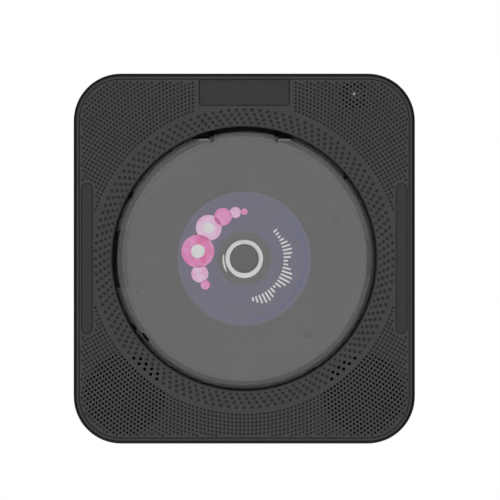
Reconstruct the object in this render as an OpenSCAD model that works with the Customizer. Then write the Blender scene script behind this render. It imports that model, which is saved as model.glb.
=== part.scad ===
// Wall-mounted disc player: square speaker-grille front with a round disc well,
// a clear flip-up cover, a pickup mechanism behind the well and a hook-on wall plate.
// Millimetres. X to the viewer's right, Z up, the viewer looks along +Y.
// The wall is the plane y = 0; a depth "d" below is the distance from the wall (y = -d).

/* [Body] */
// Overall width
body_w = 166; // [165:0.5:168]
// Overall height
body_h = 180; // [180:0.5:184]
// Distance of the front edge from the wall
front_d = 38; // [38:0.25:39]
// Corner radius seen from the front
corner_r = 23; // [22:0.5:24]
// Side wall thickness
wall_t = 2.2; // [2:0.1:2.4]
// Radius of the rounded front edge
edge_r = 1.8; // [1:0.1:2]

/* [Disc well and cover] */
// Radius of the round opening in the grille
opening_r = 64.2; // [64.1:0.05:64.6]
// Radius of the rounded edge of the opening
lip_r = 1.3; // [1:0.1:1.4]
// Outer radius of the clear cover
cover_r = 63.5; // [63.3:0.1:63.6]
// Disc radius
disc_r = 60; // [60]
// Disc thickness
disc_t = 1.2; // [1.2]
// Depth of the cover hinge axis
hinge_d = 35.6; // [35.5:0.1:35.7]
// Height of the cover hinge axis above the disc centre
hinge_z = 60.4; // [60.3:0.1:60.5]

/* [Speakers] */
// Speaker centre, sideways from the middle
spk_x = 57.9; // [57.5:0.1:58]
// Speaker centre, below the middle
spk_z = 65.8; // [65.5:0.1:66]
// Speaker frame radius
spk_r = 20; // [19:0.5:20]

/* [Keys and sockets] */
// Distance between the keys on the top edge
key_pitch = 15; // [14:0.5:15.5]
// Key length
key_l = 11; // [10:0.5:11]
// Key width
key_w = 5; // [4.5:0.1:5]
// Radius of the audio socket's bore
aux_r = 1.8; // [1.78:0.01:1.82]

/* [Wall plate] */
// Distance between the two wall screw holes
plate_pitch = 30; // [28:1:34]
// Wall screw hole radius
plate_hole_r = 2.2; // [2:0.1:2.3]
// Distance of each hook from the middle
hook_x = 28; // [27:0.5:29]

/* [Mechanism] */
// Lens distance from the disc centre at the start of a disc
lens_x = 23.5; // [23.5]
// Gear module
gm = 0.5; // [0.5]

/* [Hidden] */
$fn = 96;
e = 0.01;
pd = front_d - 0.4;         // depth of the grille's face
pb = pd - 2;                // back of the grille panel
inset = 2.75;               // grille panel's edge, inwards from the outside
rear_d = 3;                 // outer face of the back cover
seam_d = 7;                 // where the back cover meets the housing
hw = body_w / 2;
hh = body_h / 2;
key_d = 21;                 // depth of the keys' centre line
skirt = 33.4;               // lower rim of the cover
floor_b = 27.8;             // back of the well's floor
floor_f = 29.6;             // front of the well's floor
ch0 = 20.3;                 // chassis plate, back
ch1 = 22.7;                 // chassis plate, front
rod_d = 16.8;
rod_z = 19;
rack_pitch_z = 23.5;
gz = rack_pitch_z + 7 * gm; // idler gear axis height
gx = 36;                    // idler gear axis, sideways
n_big = 40; n_small = 14; n_pin = 11;
pin_dist = (n_big + n_pin) / 2 * gm + 0.04;
pin_a = 150;                // direction from idler to motor pinion
px = gx + pin_dist * cos(pin_a);
pz = gz + pin_dist * sin(pin_a);
ink = "#2b2b2c";
// screw places as [x, z]
case_pts = [[73.6, 77.8], [-73.6, 77.8], [77.4, -38], [-77.4, -38], [34, -84.5], [-34, -84.5]];
deck_a = [45, 135, 200, 340, 270];
deck_r = 70.3;
damp_pts = [[55, 28.5], [-27, 28.5], [55, -28.5], [-27, -28.5]];
ear = [17.4, 15.4];
board_pts = [[-25, -38], [25, -38], [-25, -70], [25, -70]];
led = [53.4, 80.1];
key_x = [for (i = [0:5]) (i - 2.5) * key_pitch];
lug_a = [[151.25, 3], [212, 3], [38.75, 1.2]];

// ---- helpers: shapes are drawn in (x, z) and given a depth from the wall ----
module ex(d0, d1) rotate([90, 0, 0]) translate([0, 0, d0]) linear_extrude(height = d1 - d0) children();
module cy(x, z, r, d0, d1) rotate([90, 0, 0]) translate([x, z, d0]) cylinder(r = r, h = d1 - d0);
module cone(x, z, r0, r1, d0, d1) rotate([90, 0, 0]) translate([x, z, d0]) cylinder(r1 = r0, r2 = r1, h = d1 - d0);
module bx(x0, x1, z0, z1, d0, d1) translate([x0, -d1, z0]) cube([x1 - x0, d1 - d0, z1 - z0]);
module rev(x = 0, z = 0) rotate([90, 0, 0]) translate([x, z, 0]) rotate_extrude() children();
module rr(w, h, r) {
  square([w - 2 * r, h], center = true);
  square([w, h - 2 * r], center = true);
  for (a = [-1, 1], b = [-1, 1]) translate([a * (w / 2 - r), b * (h / 2 - r)]) circle(r = r);
}
module slot2(w, h) { // stadium along x
  square([w - h, h], center = true);
  for (a = [-1, 1]) translate([a * (w - h) / 2, 0]) circle(d = h);
}
// sweeps a section, drawn as (outward distance from the outer face, depth), round the body
module sweep_body() {
  cx = hw - corner_r; cz = hh - corner_r;
  rotate([90, 0, 0]) {
    for (k = [0:3]) translate([(k == 0 || k == 3 ? 1 : -1) * cx, (k < 2 ? 1 : -1) * cz, 0])
      rotate([0, 0, 90 * k]) rotate_extrude(angle = 90) translate([corner_r, 0]) children();
    for (k = [0, 2]) rotate([0, 0, 90 * k]) translate([hw, cz, 0]) rotate([90, 0, 0])
      linear_extrude(height = 2 * cz) children();
    for (k = [1, 3]) rotate([0, 0, 90 * k]) translate([hh, cx, 0]) rotate([90, 0, 0])
      linear_extrude(height = 2 * cx) children();
  }
}
module box2(x0, x1, y0, y1) translate([x0, y0]) square([x1 - x0, y1 - y0]);
module screw(x, z, r, rh, d_tip, d_seat, d_top) {
  // head towards the wall when d_top < d_seat, else towards the front
  cy(x, z, r, min(d_tip, d_seat), max(d_tip, d_seat));
  difference() {
    cy(x, z, rh, min(d_top, d_seat), max(d_top, d_seat));
    if (d_top < d_seat) cross_slot(x, z, rh, d_top - e, d_top + 0.6);
    else cross_slot(x, z, rh, d_top - 0.6, d_top + e);
  }
}
module cross_slot(x, z, rh, d0, d1) {
  bx(x - rh * 0.6, x + rh * 0.6, z - rh * 0.14, z + rh * 0.14, d0, d1);
  bx(x - rh * 0.14, x + rh * 0.14, z - rh * 0.6, z + rh * 0.6, d0, d1);
}

// ---- gear teeth: involute flanks with backlash ----
function inva(a) = tan(a) * 180 / PI - a;
function half_a(n, rho, lash) = let (rp = n * gm / 2, rb = rp * cos(20))
  90 / n - lash / 2 / rp * 180 / PI + inva(20) - (rho > rb ? inva(acos(rb / rho)) : 0);
function gear_pts(n, lash, add, ded) = let (rp = n * gm / 2, rs = [rp - ded * gm, rp - 0.35 * gm, rp + 0.25 * gm, rp + add * gm])
  [for (i = [0:n - 1]) each concat(
    [for (j = [0:3]) let (a = 360 / n * i - half_a(n, rs[j], lash)) rs[j] * [cos(a), sin(a)]],
    [for (j = [3:-1:0]) let (a = 360 / n * i + half_a(n, rs[j], lash)) rs[j] * [cos(a), sin(a)]])];
module gear2(n, lash = 0.14, add = 0.8, ded = 1.2) polygon(gear_pts(n, lash, add, ded));

// ================= housing =================
module front_housing() color(ink) {
  difference() {
    union() {
      sweep_body() difference() {
        union() {
          box2(-wall_t, 0, seam_d, front_d);
          box2(-2.6, 0, pb, front_d);
          box2(-4, -e, pb - 1.8, pb);
        }
        difference() { box2(-edge_r, 1, front_d - edge_r, front_d + 1); translate([-edge_r, front_d - edge_r]) circle(r = edge_r); }
      }
      for (p = case_pts) cy(p[0], p[1], 3.6, seam_d, 30);
      // key board bosses hanging from the top wall
      for (s = [-1, 1]) translate([s * 50, -key_d, 80]) cylinder(r = 2.6, h = hh - wall_t - 80 + 0.5);
      // web tying each corner boss to the wall
      for (s = [-1, 1]) bx(s * 73.6 - 1, s * 73.6 + 1, 78, 83.6, seam_d + 2.5, 30);
    }
    for (p = case_pts) cy(p[0], p[1], 1.25, seam_d - 1, 18);
    for (s = [-1, 1]) translate([s * 50, -key_d, 79]) cylinder(r = 1.05, h = 7);
    for (x = key_x) translate([x, -key_d, hh - wall_t - 1]) linear_extrude(height = 5) slot2(key_l + 0.5, key_w + 0.5);
    // openings in the bottom wall
    bx(5, 11, -hh - 1, -hh + 3, seam_d - 1, 13.3);
    translate([-25.5, -11.2, -hh - 1]) cylinder(r = 4.1, h = 4);
    bx(-16.3, -1.7, -hh - 1, -hh + 3, 7.8, 13.6);
    bx(20, 28, -hh - 1, -hh + 3, 9, 12);
    // clearance behind the display's upper edge is part of the panel seat
  }
}

module grille_panel() color("#3a3a3b") {
  difference() {
    union() {
      ex(pb, pd) rr(body_w - 2 * inset, body_h - 2 * inset, corner_r - inset);
      for (a = deck_a) cy(deck_r * cos(a), deck_r * sin(a), 2.8, 33.6, pb + e);
      for (s = [-1, 1], t = [-1, 1]) cy(s * (spk_x + t * ear[0]), -spk_z + t * ear[1], 2.8, 33.6, pb + e);
      for (s = [-1, 1]) cy(s * 27, 78.8, 2.3, 30.1, pb + e);
    }
    rev() difference() {
      box2(0, opening_r + lip_r, pb - 1, pd + 1);
      difference() {
        box2(opening_r, opening_r + lip_r + 0.3, pb - 2, pd);
        difference() { box2(opening_r, opening_r + lip_r, pd - lip_r, pd + 1); translate([opening_r + lip_r, pd - lip_r]) circle(r = lip_r); }
      }
    }
    bx(-21.95, 21.95, 74.4, 88.5, pb - 1, pd + 1);
    for (s = [-1, 1]) translate([s * 76.5, 0, 0]) ex(pd - 1, pd + 1) rotate(90) slot2(73.5, 5.5);
    cy(led[0], led[1], 0.65, pb - 1, pd + 1);
    for (a = deck_a) cy(deck_r * cos(a), deck_r * sin(a), 1.05, 33, 36.6);
    for (s = [-1, 1], t = [-1, 1]) cy(s * (spk_x + t * ear[0]), -spk_z + t * ear[1], 1.05, 33, 36.6);
    for (s = [-1, 1]) cy(s * 27, 78.8, 1.05, 30, 36.6);
  }
}

module display_window() color("#303031")
  translate([0, 0, 80.8]) ex(pb + 0.2, pd - 0.15) rr(43.6, 12.7, 0.9);

module side_inlays() color("#39393a") for (s = [-1, 1])
  translate([s * 76.5, 0, 0]) ex(pd - 1, pd - 0.15) rotate(90) slot2(73.3, 5.3);

module disc_well() color("#1d1d1e") difference() {
  union() {
    rev() { box2(0, 66.4, floor_b, floor_f); box2(61.8, 66.4, floor_b, 33); box2(64.7, 66.4, 32, pb); }
    for (a = deck_a) rotate([0, -a, 0]) { cy(deck_r, 0, 3, 31.8, 33.58); bx(65.5, deck_r, -3, 3, 31.8, 33.58); }
    // hinge knuckles
    for (s = [-1, 1]) intersection() {
      translate([s * 19.8, 0, 0]) union() {
        bx(-2.8, 2.8, hinge_z - 1.6, hinge_z + 3, 32.5, hinge_d);
        translate([-2.8, -hinge_d, hinge_z]) rotate([0, 90, 0]) cylinder(r = 1.6, h = 5.6);
        bx(-2.8, 2.8, hinge_z, hinge_z + 3, 32.5, hinge_d + 1);
      }
      union() { cy(0, 0, 65.2, 32, pb); cy(0, 0, opening_r - 0.1, 32, 38); }
    }
    // latch lugs
    for (l = lug_a) intersection() {
      rotate([0, -l[0], 0]) bx(62.8, 65.2, -l[1] / 2, l[1] / 2, 32.5, 36.4);
      union() { cy(0, 0, 65.2, 32, pb); cy(0, 0, opening_r - 0.1, 32, 38); }
    }
    for (p = damp_pts) cy(p[0], p[1], 3.4, 24.2, floor_b + e);
  }
  cy(0, 0, 17, floor_b - 1, 40);
  bx(10, 64.6, -9.5, 9.5, floor_b - 1, 30.7);
  for (s = [-1, 1]) translate([s * 19.8 - 4, -hinge_d, hinge_z]) rotate([0, 90, 0]) cylinder(r = 0.86, h = 8);
  for (a = deck_a) rotate([0, -a, 0]) cy(deck_r, 0, 1.2, 31, 34);
  for (p = damp_pts) cy(p[0], p[1], 1.3, 24, 28.8);
  // recess for a fingertip on the left, and between the knuckles
  intersection() {
    cy(0, 0, 64.6, floor_f, 34);
    union() { bx(-66, -50, -13.8, 13.8, floor_f, 34); bx(-15, 15, 50, 66, floor_f, 34); }
  }
  // room above the knuckles and for the cover's tab
  bx(-16.9, 16.9, 55, 64.68, 33, 40);
  rotate([0, -218.5, 0]) bx(62.2, 65.8, -2.8, 2.8, 29.8, 34);
}

module catch_magnet() color("#6e6e70") rotate([0, -218.5, 0]) bx(62.3, 65.7, -2.7, 2.7, 29.9, 32.9);

module dust_cover() color([0.85, 0.86, 0.88, 0.35]) {
  difference() {
    rev() difference() {
      union() { box2(0, cover_r - 2, skirt, front_d - 0.8); box2(0, cover_r, skirt, front_d - 2.8); translate([cover_r - 2, front_d - 2.8]) circle(r = 2); }
      box2(-1, 61.4, skirt - 1, pb);
      box2(-1, 62.3, skirt - 1, pb - 0.9);
      translate([61.4, pb - 0.9]) circle(r = 0.9);
    }
    // upper cut-out with the two hinge pockets
    difference() {
      bx(-15, 15, 55, 66, 32, 40);
      cy(0, 0, 61.8, 34.2, 41);
    }
    for (s = [-1, 1]) bx(s * 19 - 4.1, s * 19 + 4.1, 57.6, 66, 32, 40);
    // relief beside the pockets, so that the opened cover clears the grille
    for (s = [-1, 1]) bx(s * 25 - 2, s * 25 + 2, 58.3, 66, 32, 40);
    // finger notch on the left
    difference() { bx(-66, -50, -13.8, 13.8, 32, 40); cy(0, 0, 62.15, 31, 41); }
    difference() { bx(-63, -50, -13.8, 13.8, front_d - 1.1, 40); cy(0, 0, 57, 31, 41); }
    for (l = lug_a) rotate([0, -l[0], 0]) bx(62.5, 66, -l[1] / 2 - 0.5, l[1] / 2 + 0.5, 32, 40);
    rotate([0, -218.5, 0]) bx(60.5, 62.4, -2.8, 2.8, 32, pb);
  }
  // round bead along the lower edge of each hinge pocket
  for (s = [-1, 1]) translate([s > 0 ? 16.4 : -22.4, -36.45, 58.0]) rotate([0, 90, 0]) cylinder(r = 0.62, h = 6);
  // ears and hinge pins
  for (s = [-1, 1]) {
    difference() {
      union() {
        translate([s * 15.75 - 0.85, -hinge_d, hinge_z]) rotate([0, 90, 0]) cylinder(r = 1.5, h = 1.7);
        bx(s * 15.75 - 0.85, s * 15.75 + 0.85, 56.5, hinge_z, hinge_d - 0.7, hinge_d + 1.5);
      }
    }
    translate([s > 0 ? 15.5 : -19, -hinge_d, hinge_z]) rotate([0, 90, 0]) cylinder(r = 0.8, h = 3.5);
  }
}

module cover_magnet() color("#18181a") rotate([0, -218.5, 0]) bx(60.6, 62.2, -2.7, 2.7, 33.7, pb);

// ================= disc and spindle =================
module disc() color("#1a1a1d") difference() {
  rev() { box2(7.5, disc_r, 32, 32 + disc_t); }
  rev() difference() { box2(10.6, 11.1, 32 + disc_t - 0.12, 34); }
}
module turntable() color("#202022") difference() {
  rev() {
    box2(1.02, 14.5, 30.6, 31.6);
    box2(1.02, 9, 28.6, 32);
    difference() { box2(1.02, 7.3, 31.5, 34.6); translate([7.3, 34.6]) rotate(45) square(1.2, center = true); }
    box2(0, 1.5, 33.05, 33.65);
  }
  rev() box2(0, 4.2, 33.6, 35);
  for (a = [90, 210, 330]) translate([6.9 * cos(a), -34.0, 6.9 * sin(a)]) sphere(r = 0.86);
}
module turntable_mat() color("#101011") rev() box2(9.2, 14.2, 31.6, 32);
module clamp_balls() color("silver") for (a = [90, 210, 330]) translate([6.9 * cos(a), -34.0, 6.9 * sin(a)]) sphere(r = 0.8);
module spindle_shaft() color("silver") cy(0, 0, 1.0, 13, 33.0);
module spindle_motor() color("#b9bbbd") difference() {
  union() { cy(0, 0, 12, 10.8, ch0); cy(0, 0, 3, ch0 - e, 21.8); cy(0, 0, 2.5, 10, 10.9); }
  cy(0, 0, 1.06, 12, 22);
  for (a = [0, 180]) cy(8 * cos(a), 8 * sin(a), 0.9, 18, 21);
}

// ================= mechanism =================
module mechanism_chassis() color("#27282a") difference() {
  union() {
    ex(ch0, ch1) difference() {
      union() {
        translate([18.5, 0]) rr(105, 67, 4);
        translate([29, 36]) rr(44, 14, 3);
      }
      circle(r = 3.1);
      box2(15, 68, -14, 14);
      for (p = damp_pts) translate(p) circle(r = 3.05);
    }
    for (x = [9.5, 68], s = [-1, 1]) bx(x - 1.5, x + 1.5, s * rod_z - 2.5, s * rod_z + 2.5, 14.8, ch0 + e);
    cy(gx, gz, 2.2, ch0 - 0.4, ch0 + e);
    bx(-30, 66, -33, -31, 18.6, ch0 + e);
    bx(-30, 15, 31, 33, 18.6, ch0 + e);
  }
  for (s = [-1, 1]) translate([7, -rod_d, s * rod_z]) rotate([0, 90, 0]) cylinder(r = 1.52, h = 64);
  cy(gx, gz, 1.02, 18, ch1 + 1);
  cy(px, pz, 2.3, 19, ch1 + 1);
  for (a = [0, 180]) cy(8 * cos(a), 8 * sin(a), 1.0, 19, 24);
  for (a = [60, 240]) cy(px + 5 * cos(a), pz + 5 * sin(a), 1.0, 19, 24);
  for (p = damp_pts) cy(p[0], p[1], 4.9, 18, ch0);
}
module damper_grommets() color("#0f0f10") for (p = damp_pts) rev(p[0], p[1]) {
  box2(1.9, 4.6, ch1, 24.2); box2(1.9, 3, ch0 - 0.01, ch1 + 0.01); box2(1.9, 4.6, 18.8, ch0);
}
module damper_screws() color("silver") for (p = damp_pts) {
  cy(p[0], p[1], 1.25, 24.15, 28.6);
  cy(p[0], p[1], 1.8, 18.7, 24.2);
  difference() { cy(p[0], p[1], 3.8, 17.4, 18.8); cross_slot(p[0], p[1], 3, 17.3, 18); }
}
module guide_rods() color("silver") for (s = [-1, 1])
  translate([8.1, -rod_d, s * rod_z]) rotate([0, 90, 0]) cylinder(r = 1.5, h = 61.3);

module pickup_sled() color("#3c4248") difference() {
  union() {
    bx(lens_x - 11, lens_x + 9, -22, 21.4, 14.3, 19.3);
    bx(lens_x - 8.3, lens_x + 8.5, -11, 11, 19, 26.6);
  }
  translate([lens_x - 20, -rod_d, -rod_z]) rotate([0, 90, 0]) cylinder(r = 1.55, h = 40);
  bx(lens_x - 20, lens_x + 20, rod_z - 2.4, 25, rod_d - 1.55, rod_d + 1.55);
  bx(lens_x - 4, lens_x + 30, -25, -10, rod_d - 6, rod_d + 0.01 - 6);
  // hollow for the optical path
  bx(lens_x - 5, lens_x + 5, -7, 7, 13, 22);
}
module sled_rack() color("#e6e2d6") union() {
  n0 = -21; n1 = 1;
  p = PI * gm;
  ex(15.4, 18.6) polygon(concat(
    [[gx + (n0 - 0.5) * p, rack_pitch_z - 1.9], [gx + (n0 - 0.5) * p, rack_pitch_z - 1.2 * gm]],
    [for (i = [n0:n1]) each [
      [gx + i * p - 0.30 * p - 0.03 * p + 0.06, rack_pitch_z - 1.2 * gm],
      [gx + i * p - 0.16 * p + 0.05, rack_pitch_z + 0.8 * gm],
      [gx + i * p + 0.16 * p - 0.05, rack_pitch_z + 0.8 * gm],
      [gx + i * p + 0.30 * p + 0.03 * p - 0.06, rack_pitch_z - 1.2 * gm]]],
    [[gx + (n1 + 0.5) * p, rack_pitch_z - 1.2 * gm], [gx + (n1 + 0.5) * p, rack_pitch_z - 1.9]]));
  bx(lens_x - 10, lens_x + 8, 21.4, rack_pitch_z - 1.5, 18.4, 19.3);
}
module lens_actuator() color("#17181a") difference() {
  bx(lens_x - 6.5, lens_x + 6.5, -7.5, 7.5, 26.6, 30);
  cy(lens_x, 0, 3.1, 28, 31);
  for (s = [-1, 1]) bx(lens_x - 4.5, lens_x + 4.5, s * 5.4 - 0.6, s * 5.4 + 0.6, 28, 31);
}
module objective_lens() color("#8fa7c4") { cy(lens_x, 0, 2.9, 28, 30); rev(lens_x, 0) intersection() { translate([0, 26.9]) circle(r = 4); box2(0, 2.3, 29.9, 31); } }
module idler_gear() color("#efece2") difference() {
  union() {
    translate([gx, 0, gz]) rotate([0, 0, 0]) ex(14.2, 19.6) rotate(-90 + 180 / n_small) gear2(n_small);
    translate([gx, 0, gz]) ex(12.4, 14.2 + e) rotate(pin_a) gear2(n_big);
  }
  cy(gx, gz, 1.06, 11, 21);
}
module gear_pin() color("silver") { cy(gx, gz, 1.0, 11.6, ch1); cy(gx, gz, 1.8, 11.2, 12.1); }
module motor_pinion() color("#efece2") {
  translate([px, 0, pz]) ex(12.2, 13.9) rotate(pin_a + 180 + 180 / n_pin) gear2(n_pin);
  cy(px, pz, 0.75, 12.1, 18);
}
module sled_motor() color("#b9bbbd") difference() {
  union() { cy(px, pz, 7, 14.6, ch0); cy(px, pz, 2.2, ch0 - e, 21.8); }
  cy(px, pz, 0.81, 14, 18.5);
  for (a = [60, 240]) cy(px + 5 * cos(a), pz + 5 * sin(a), 0.9, 18, 21);
}

// ================= speakers =================
module speaker_scrims() color("#0b0b0c") for (s = [-1, 1]) cy(s * spk_x, -spk_z, spk_r, pb - 0.4, pb);
module speaker_gaskets() color("#1a1a1a") for (s = [-1, 1]) rev(s * spk_x, -spk_z) box2(17.2, spk_r, 33.6, pb - 0.4);
module speaker_frames() color("#3b3c3e") for (s = [-1, 1]) difference() {
  union() {
    rev(s * spk_x, -spk_z) polygon([[17.3, 33.6], [spk_r, 33.6], [spk_r, 31.4], [15.8, 31.4], [15.8, 23.6], [5.3, 23.6],
      [5.3, 24.8], [14.6, 24.8], [14.6, 32.2], [17.3, 32.2]]);
    for (t = [-1, 1]) {
      cy(s * (spk_x + t * ear[0]), -spk_z + t * ear[1], 3.2, 32.2, 33.6);
      translate([s * spk_x, 0, -spk_z]) rotate([0, -atan2(t * ear[1], s * t * ear[0]), 0]) bx(18.5, 22.4, -2.6, 2.6, 32.35, 33.45);
    }
  }
  for (t = [-1, 1]) cy(s * (spk_x + t * ear[0]), -spk_z + t * ear[1], 1.2, 31, 35);
  for (a = [11:60:320]) translate([s * spk_x, 0, -spk_z]) rotate([0, -a, 0]) bx(10, 20, -2.6, 2.6, 25.6, 30.4);
}
module speaker_cones() color("#222224") for (s = [-1, 1]) rev(s * spk_x, -spk_z) {
  polygon([[0, 31.2], [2.5, 30.8], [4.8, 29.4], [4.8, 26], [5.1, 26], [5.1, 28.6], [13, 32.3], [13.4, 32.6], [14, 33.1], [15.5, 33.3], [16.9, 32.4],
    [17.2, 32.4], [17.2, 32.9], [16.9, 32.9], [15.6, 33.7], [13.8, 33.5], [13, 32.9], [5.2, 29.5], [2.6, 31.3], [0, 31.7]]);
}
module speaker_magnets() color("#8c8e90") for (s = [-1, 1]) difference() {
  rev(s * spk_x, -spk_z) { box2(0, 11.2, 17.4, 18.8); box2(6.2, 11.6, 18.6, 22); box2(5.3, 11.2, 21.9, 23.6); box2(0, 4.6, 18.6, 25); }
}

// ================= electronics =================
module display_module() color("#2c5a3c") {
  difference() { bx(-30, 30, 74, 85.5, 28.5, 30.1); for (s = [-1, 1]) cy(s * 27, 78.8, 1.2, 28, 31); }
  color("#0d0d0e") bx(-20, 20, 75.8, 84.4, 30.1, 35.5);
}
module sensor_board() color("#2c5a3c") bx(49, 61.5, 75.2, 84.6, 29.8, 31);
module ir_receiver() color("#141416") {
  bx(55.6, 60.4, 77.6, 82.8, 31, 34.2);
  translate([58, -34.1, 80.2]) sphere(r = 1.3);
}
module status_led() color("#e9eef2") { bx(51.6, 55.2, 78.3, 81.9, 31, 35.4); cy(led[0], led[1], 0.55, 35.3, pd - 0.1); }
module key_board() color("#2c5a3c") difference() {
  translate([0, -key_d, 78.4]) linear_extrude(height = 1.6) rr(108, 11, 1.5);
  for (s = [-1, 1]) translate([s * 50, -key_d, 78]) cylinder(r = 1.2, h = 3);
}
module tact_switches() for (x = key_x) {
  color("#cfd0d2") translate([x - 3, -key_d - 1.8, 80]) cube([6, 3.6, 2.8]);
  color("#1c1c1e") translate([x, -key_d, 82.7]) cylinder(r = 1.2, h = 0.9);
}
module key(i) color("#333334") {
  translate([key_x[i], -key_d, 0]) {
    translate([0, 0, 87]) linear_extrude(height = hh - 87.25) slot2(key_l, key_w);
    translate([0, 0, 86.4]) linear_extrude(height = 0.8) slot2(key_l + 2.4, key_w + 2);
    translate([0, 0, 84.1]) cylinder(r = 1.5, h = 2.5);
  }
}
module source_key() key(0);
module previous_key() key(1);
module play_key() key(2);
module next_key() key(3);
module volume_down_key() key(4);
module volume_up_key() key(5);
module main_board() color("#2c5a3c") difference() {
  bx(-29, 29, -86.5, -34, 5.8, 7.4);
  for (p = board_pts) cy(p[0], p[1], 1.3, 5, 8);
}
module board_chips() color("#17181a") {
  bx(-7, 7, -60, -46, 7.4, 8.8);
  bx(12, 20, -56, -49, 7.4, 9);
  bx(-20, -13, -55, -48, 7.4, 9);
  bx(-9, 9, -70.5, -66, 7.4, 9.6);
  for (x = [-20, -14, 14, 20]) cy(x, -63, 2.5, 7.4, 12.6);
}
module power_inlet() color("#1a1a1c") difference() {
  union() { bx(-30, -21, -87.6, -76, 7.4, 14.6); translate([-25.5, -11.2, -hh + 0.2]) cylinder(r = 4, h = 3); }
  difference() {
    translate([-25.5, -11.2, -hh - 1]) cylinder(r = 2.8, h = 11);
    translate([-25.5, -11.2, -hh + 0.8]) cylinder(r = 0.65, h = 12);
  }
}
module usb_socket() color("#c7c9cb") {
  difference() {
    bx(-16.2, -1.8, -hh + 0.3, -76, 7.4 + 0.5, 13.5);
    bx(-15.3, -2.7, -hh - 1, -78, 8.5, 12.9);
  }
  color("#e8e8ea") bx(-15, -3, -hh + 1.5, -77.5, 8.5, 10.2);
  bx(-15.5, -2.5, -86, -77, 7.4, 8);
}
module audio_socket() color("#161618") difference() {
  union() { bx(4.8, 11.2, -87.6, -75.5, 7.4, 13.4); translate([8, -10.3, -hh + 0.2]) cylinder(r = 2.85, h = 3); }
  translate([8, -10.3, -hh - 1]) cylinder(r = aux_r, h = 14);
}
module power_switch() color("#c7c9cb") difference() {
  bx(18.5, 29.5, -87.5, -82, 7.4, 13);
  bx(20.4, 27.6, -88, -85.5, 9.2, 11.8);
}
module power_slider() color("#1b1b1c") {
  bx(20.6, 24.4, -hh + 0.15, -85.8, 9.4, 11.6);
}

// ================= fasteners, back and wall plate =================
module deck_screws() color("#4a4b4d") for (a = deck_a) screw(deck_r * cos(a), deck_r * sin(a), 1, 2, 36.4, 31.8, 30.4);
module speaker_screws() color("#4a4b4d") for (s = [-1, 1], t = [-1, 1])
  screw(s * (spk_x + t * ear[0]), -spk_z + t * ear[1], 1, 2, 36.4, 32.2, 30.9);
module small_screws() color("#8a8c8e") {
  for (p = board_pts) screw(p[0], p[1], 1, 1.9, 4, 7.4, 8.7);
  for (s = [-1, 1]) screw(s * 27, 78.8, 1, 1.9, 36.4, 28.5, 27.2);
  for (s = [-1, 1]) translate([s * 50, -key_d, 0]) { translate([0, 0, 78.3]) cylinder(r = 1, h = 7); translate([0, 0, 77.1]) cylinder(r = 2, h = 1.3); }
  for (a = [0, 180]) screw(8 * cos(a), 8 * sin(a), 0.85, 1.6, 18.4, ch1, ch1 + 0.9);
  for (a = [60, 240]) screw(px + 5 * cos(a), pz + 5 * sin(a), 0.85, 1.6, 18.4, ch1, ch1 + 0.9);
}
module housing_screws() color("#3a3a3c") for (p = case_pts) screw(p[0], p[1], 1.2, 2.7, 16, 5.2, 3.5);

module rear_cover() color(ink) difference() {
  union() {
    sweep_body() difference() {
      box2(-4, 0, rear_d, seam_d);
      box2(-5, -wall_t, rear_d + 2, seam_d + 1);
      difference() { box2(-2.5, 1, rear_d - 1, rear_d + 2.5); translate([-2.5, rear_d + 2.5]) circle(r = 2.5); }
    }
    ex(rear_d, rear_d + 2) rr(body_w - 6, body_h - 6, corner_r - 3);
    difference() {
      sweep_body() box2(-3.6, -wall_t - 0.2, rear_d + 1, seam_d + 2);
      bx(-33, 32, -95, -80, seam_d - 2, 12);
      for (p = case_pts) cy(p[0], p[1], 4.2, seam_d, 12);
    }
    for (p = case_pts) cy(p[0], p[1], 3.6, rear_d + 1, seam_d);
    for (p = board_pts) cy(p[0], p[1], 2.6, rear_d + 1, 5.8);
  }
  for (p = case_pts) { cy(p[0], p[1], 1.5, 2, 8); cy(p[0], p[1], 3.0, 2, 5.2); }
  for (p = board_pts) cy(p[0], p[1], 1.05, 3.8, 6);
  for (s = [-1, 1]) bx(s * hook_x - 5.5, s * hook_x + 5.5, -6, 2.55, 2, 6);
  // seats of the feet
  for (a = [-1, 1], b = [-1, 1]) cy(a * 60, b * 62, 6.2, 2, 3.6);
}
module rubber_feet() color("#141415") for (a = [-1, 1], b = [-1, 1]) rev(a * 60, b * 62) { box2(0, 6, 0.9, 3.6); box2(0, 5.2, 0, 1); }
module wall_plate() color("#9fa1a3") difference() {
  union() {
    ex(0, 2.4) rr(76, 40, 5);
    for (s = [-1, 1]) {
      bx(s * hook_x - 5, s * hook_x + 5, 0, 2.5, 2.3, 6.6);
      bx(s * hook_x - 5, s * hook_x + 5, 0, 7, 5.2, 6.6);
    }
  }
  for (s = [-1, 1]) { cy(s * plate_pitch / 2, 0, plate_hole_r, -1, 3); cone(s * plate_pitch / 2, 0, plate_hole_r, 4.3, 1.1, 2.4 + e); }
  for (s = [-1, 1]) bx(s * hook_x - 3, s * hook_x + 3, -14, -8, -1, 3);
}

front_housing();
grille_panel();
display_window();
side_inlays();
disc_well();
catch_magnet();
dust_cover();
cover_magnet();
disc();
turntable();
turntable_mat();
clamp_balls();
spindle_shaft();
spindle_motor();
mechanism_chassis();
damper_grommets();
damper_screws();
guide_rods();
pickup_sled();
sled_rack();
lens_actuator();
objective_lens();
idler_gear();
gear_pin();
motor_pinion();
sled_motor();
speaker_scrims();
speaker_gaskets();
speaker_frames();
speaker_cones();
speaker_magnets();
display_module();
sensor_board();
ir_receiver();
status_led();
key_board();
tact_switches();
source_key();
previous_key();
play_key();
next_key();
volume_down_key();
volume_up_key();
main_board();
board_chips();
power_inlet();
usb_socket();
audio_socket();
power_switch();
power_slider();
deck_screws();
speaker_screws();
small_screws();
housing_screws();
rear_cover();
rubber_feet();
wall_plate();
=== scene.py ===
import math
import bpy
import bmesh
import numpy as np
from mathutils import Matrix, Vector
from mathutils.geometry import delaunay_2d_cdt


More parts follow.
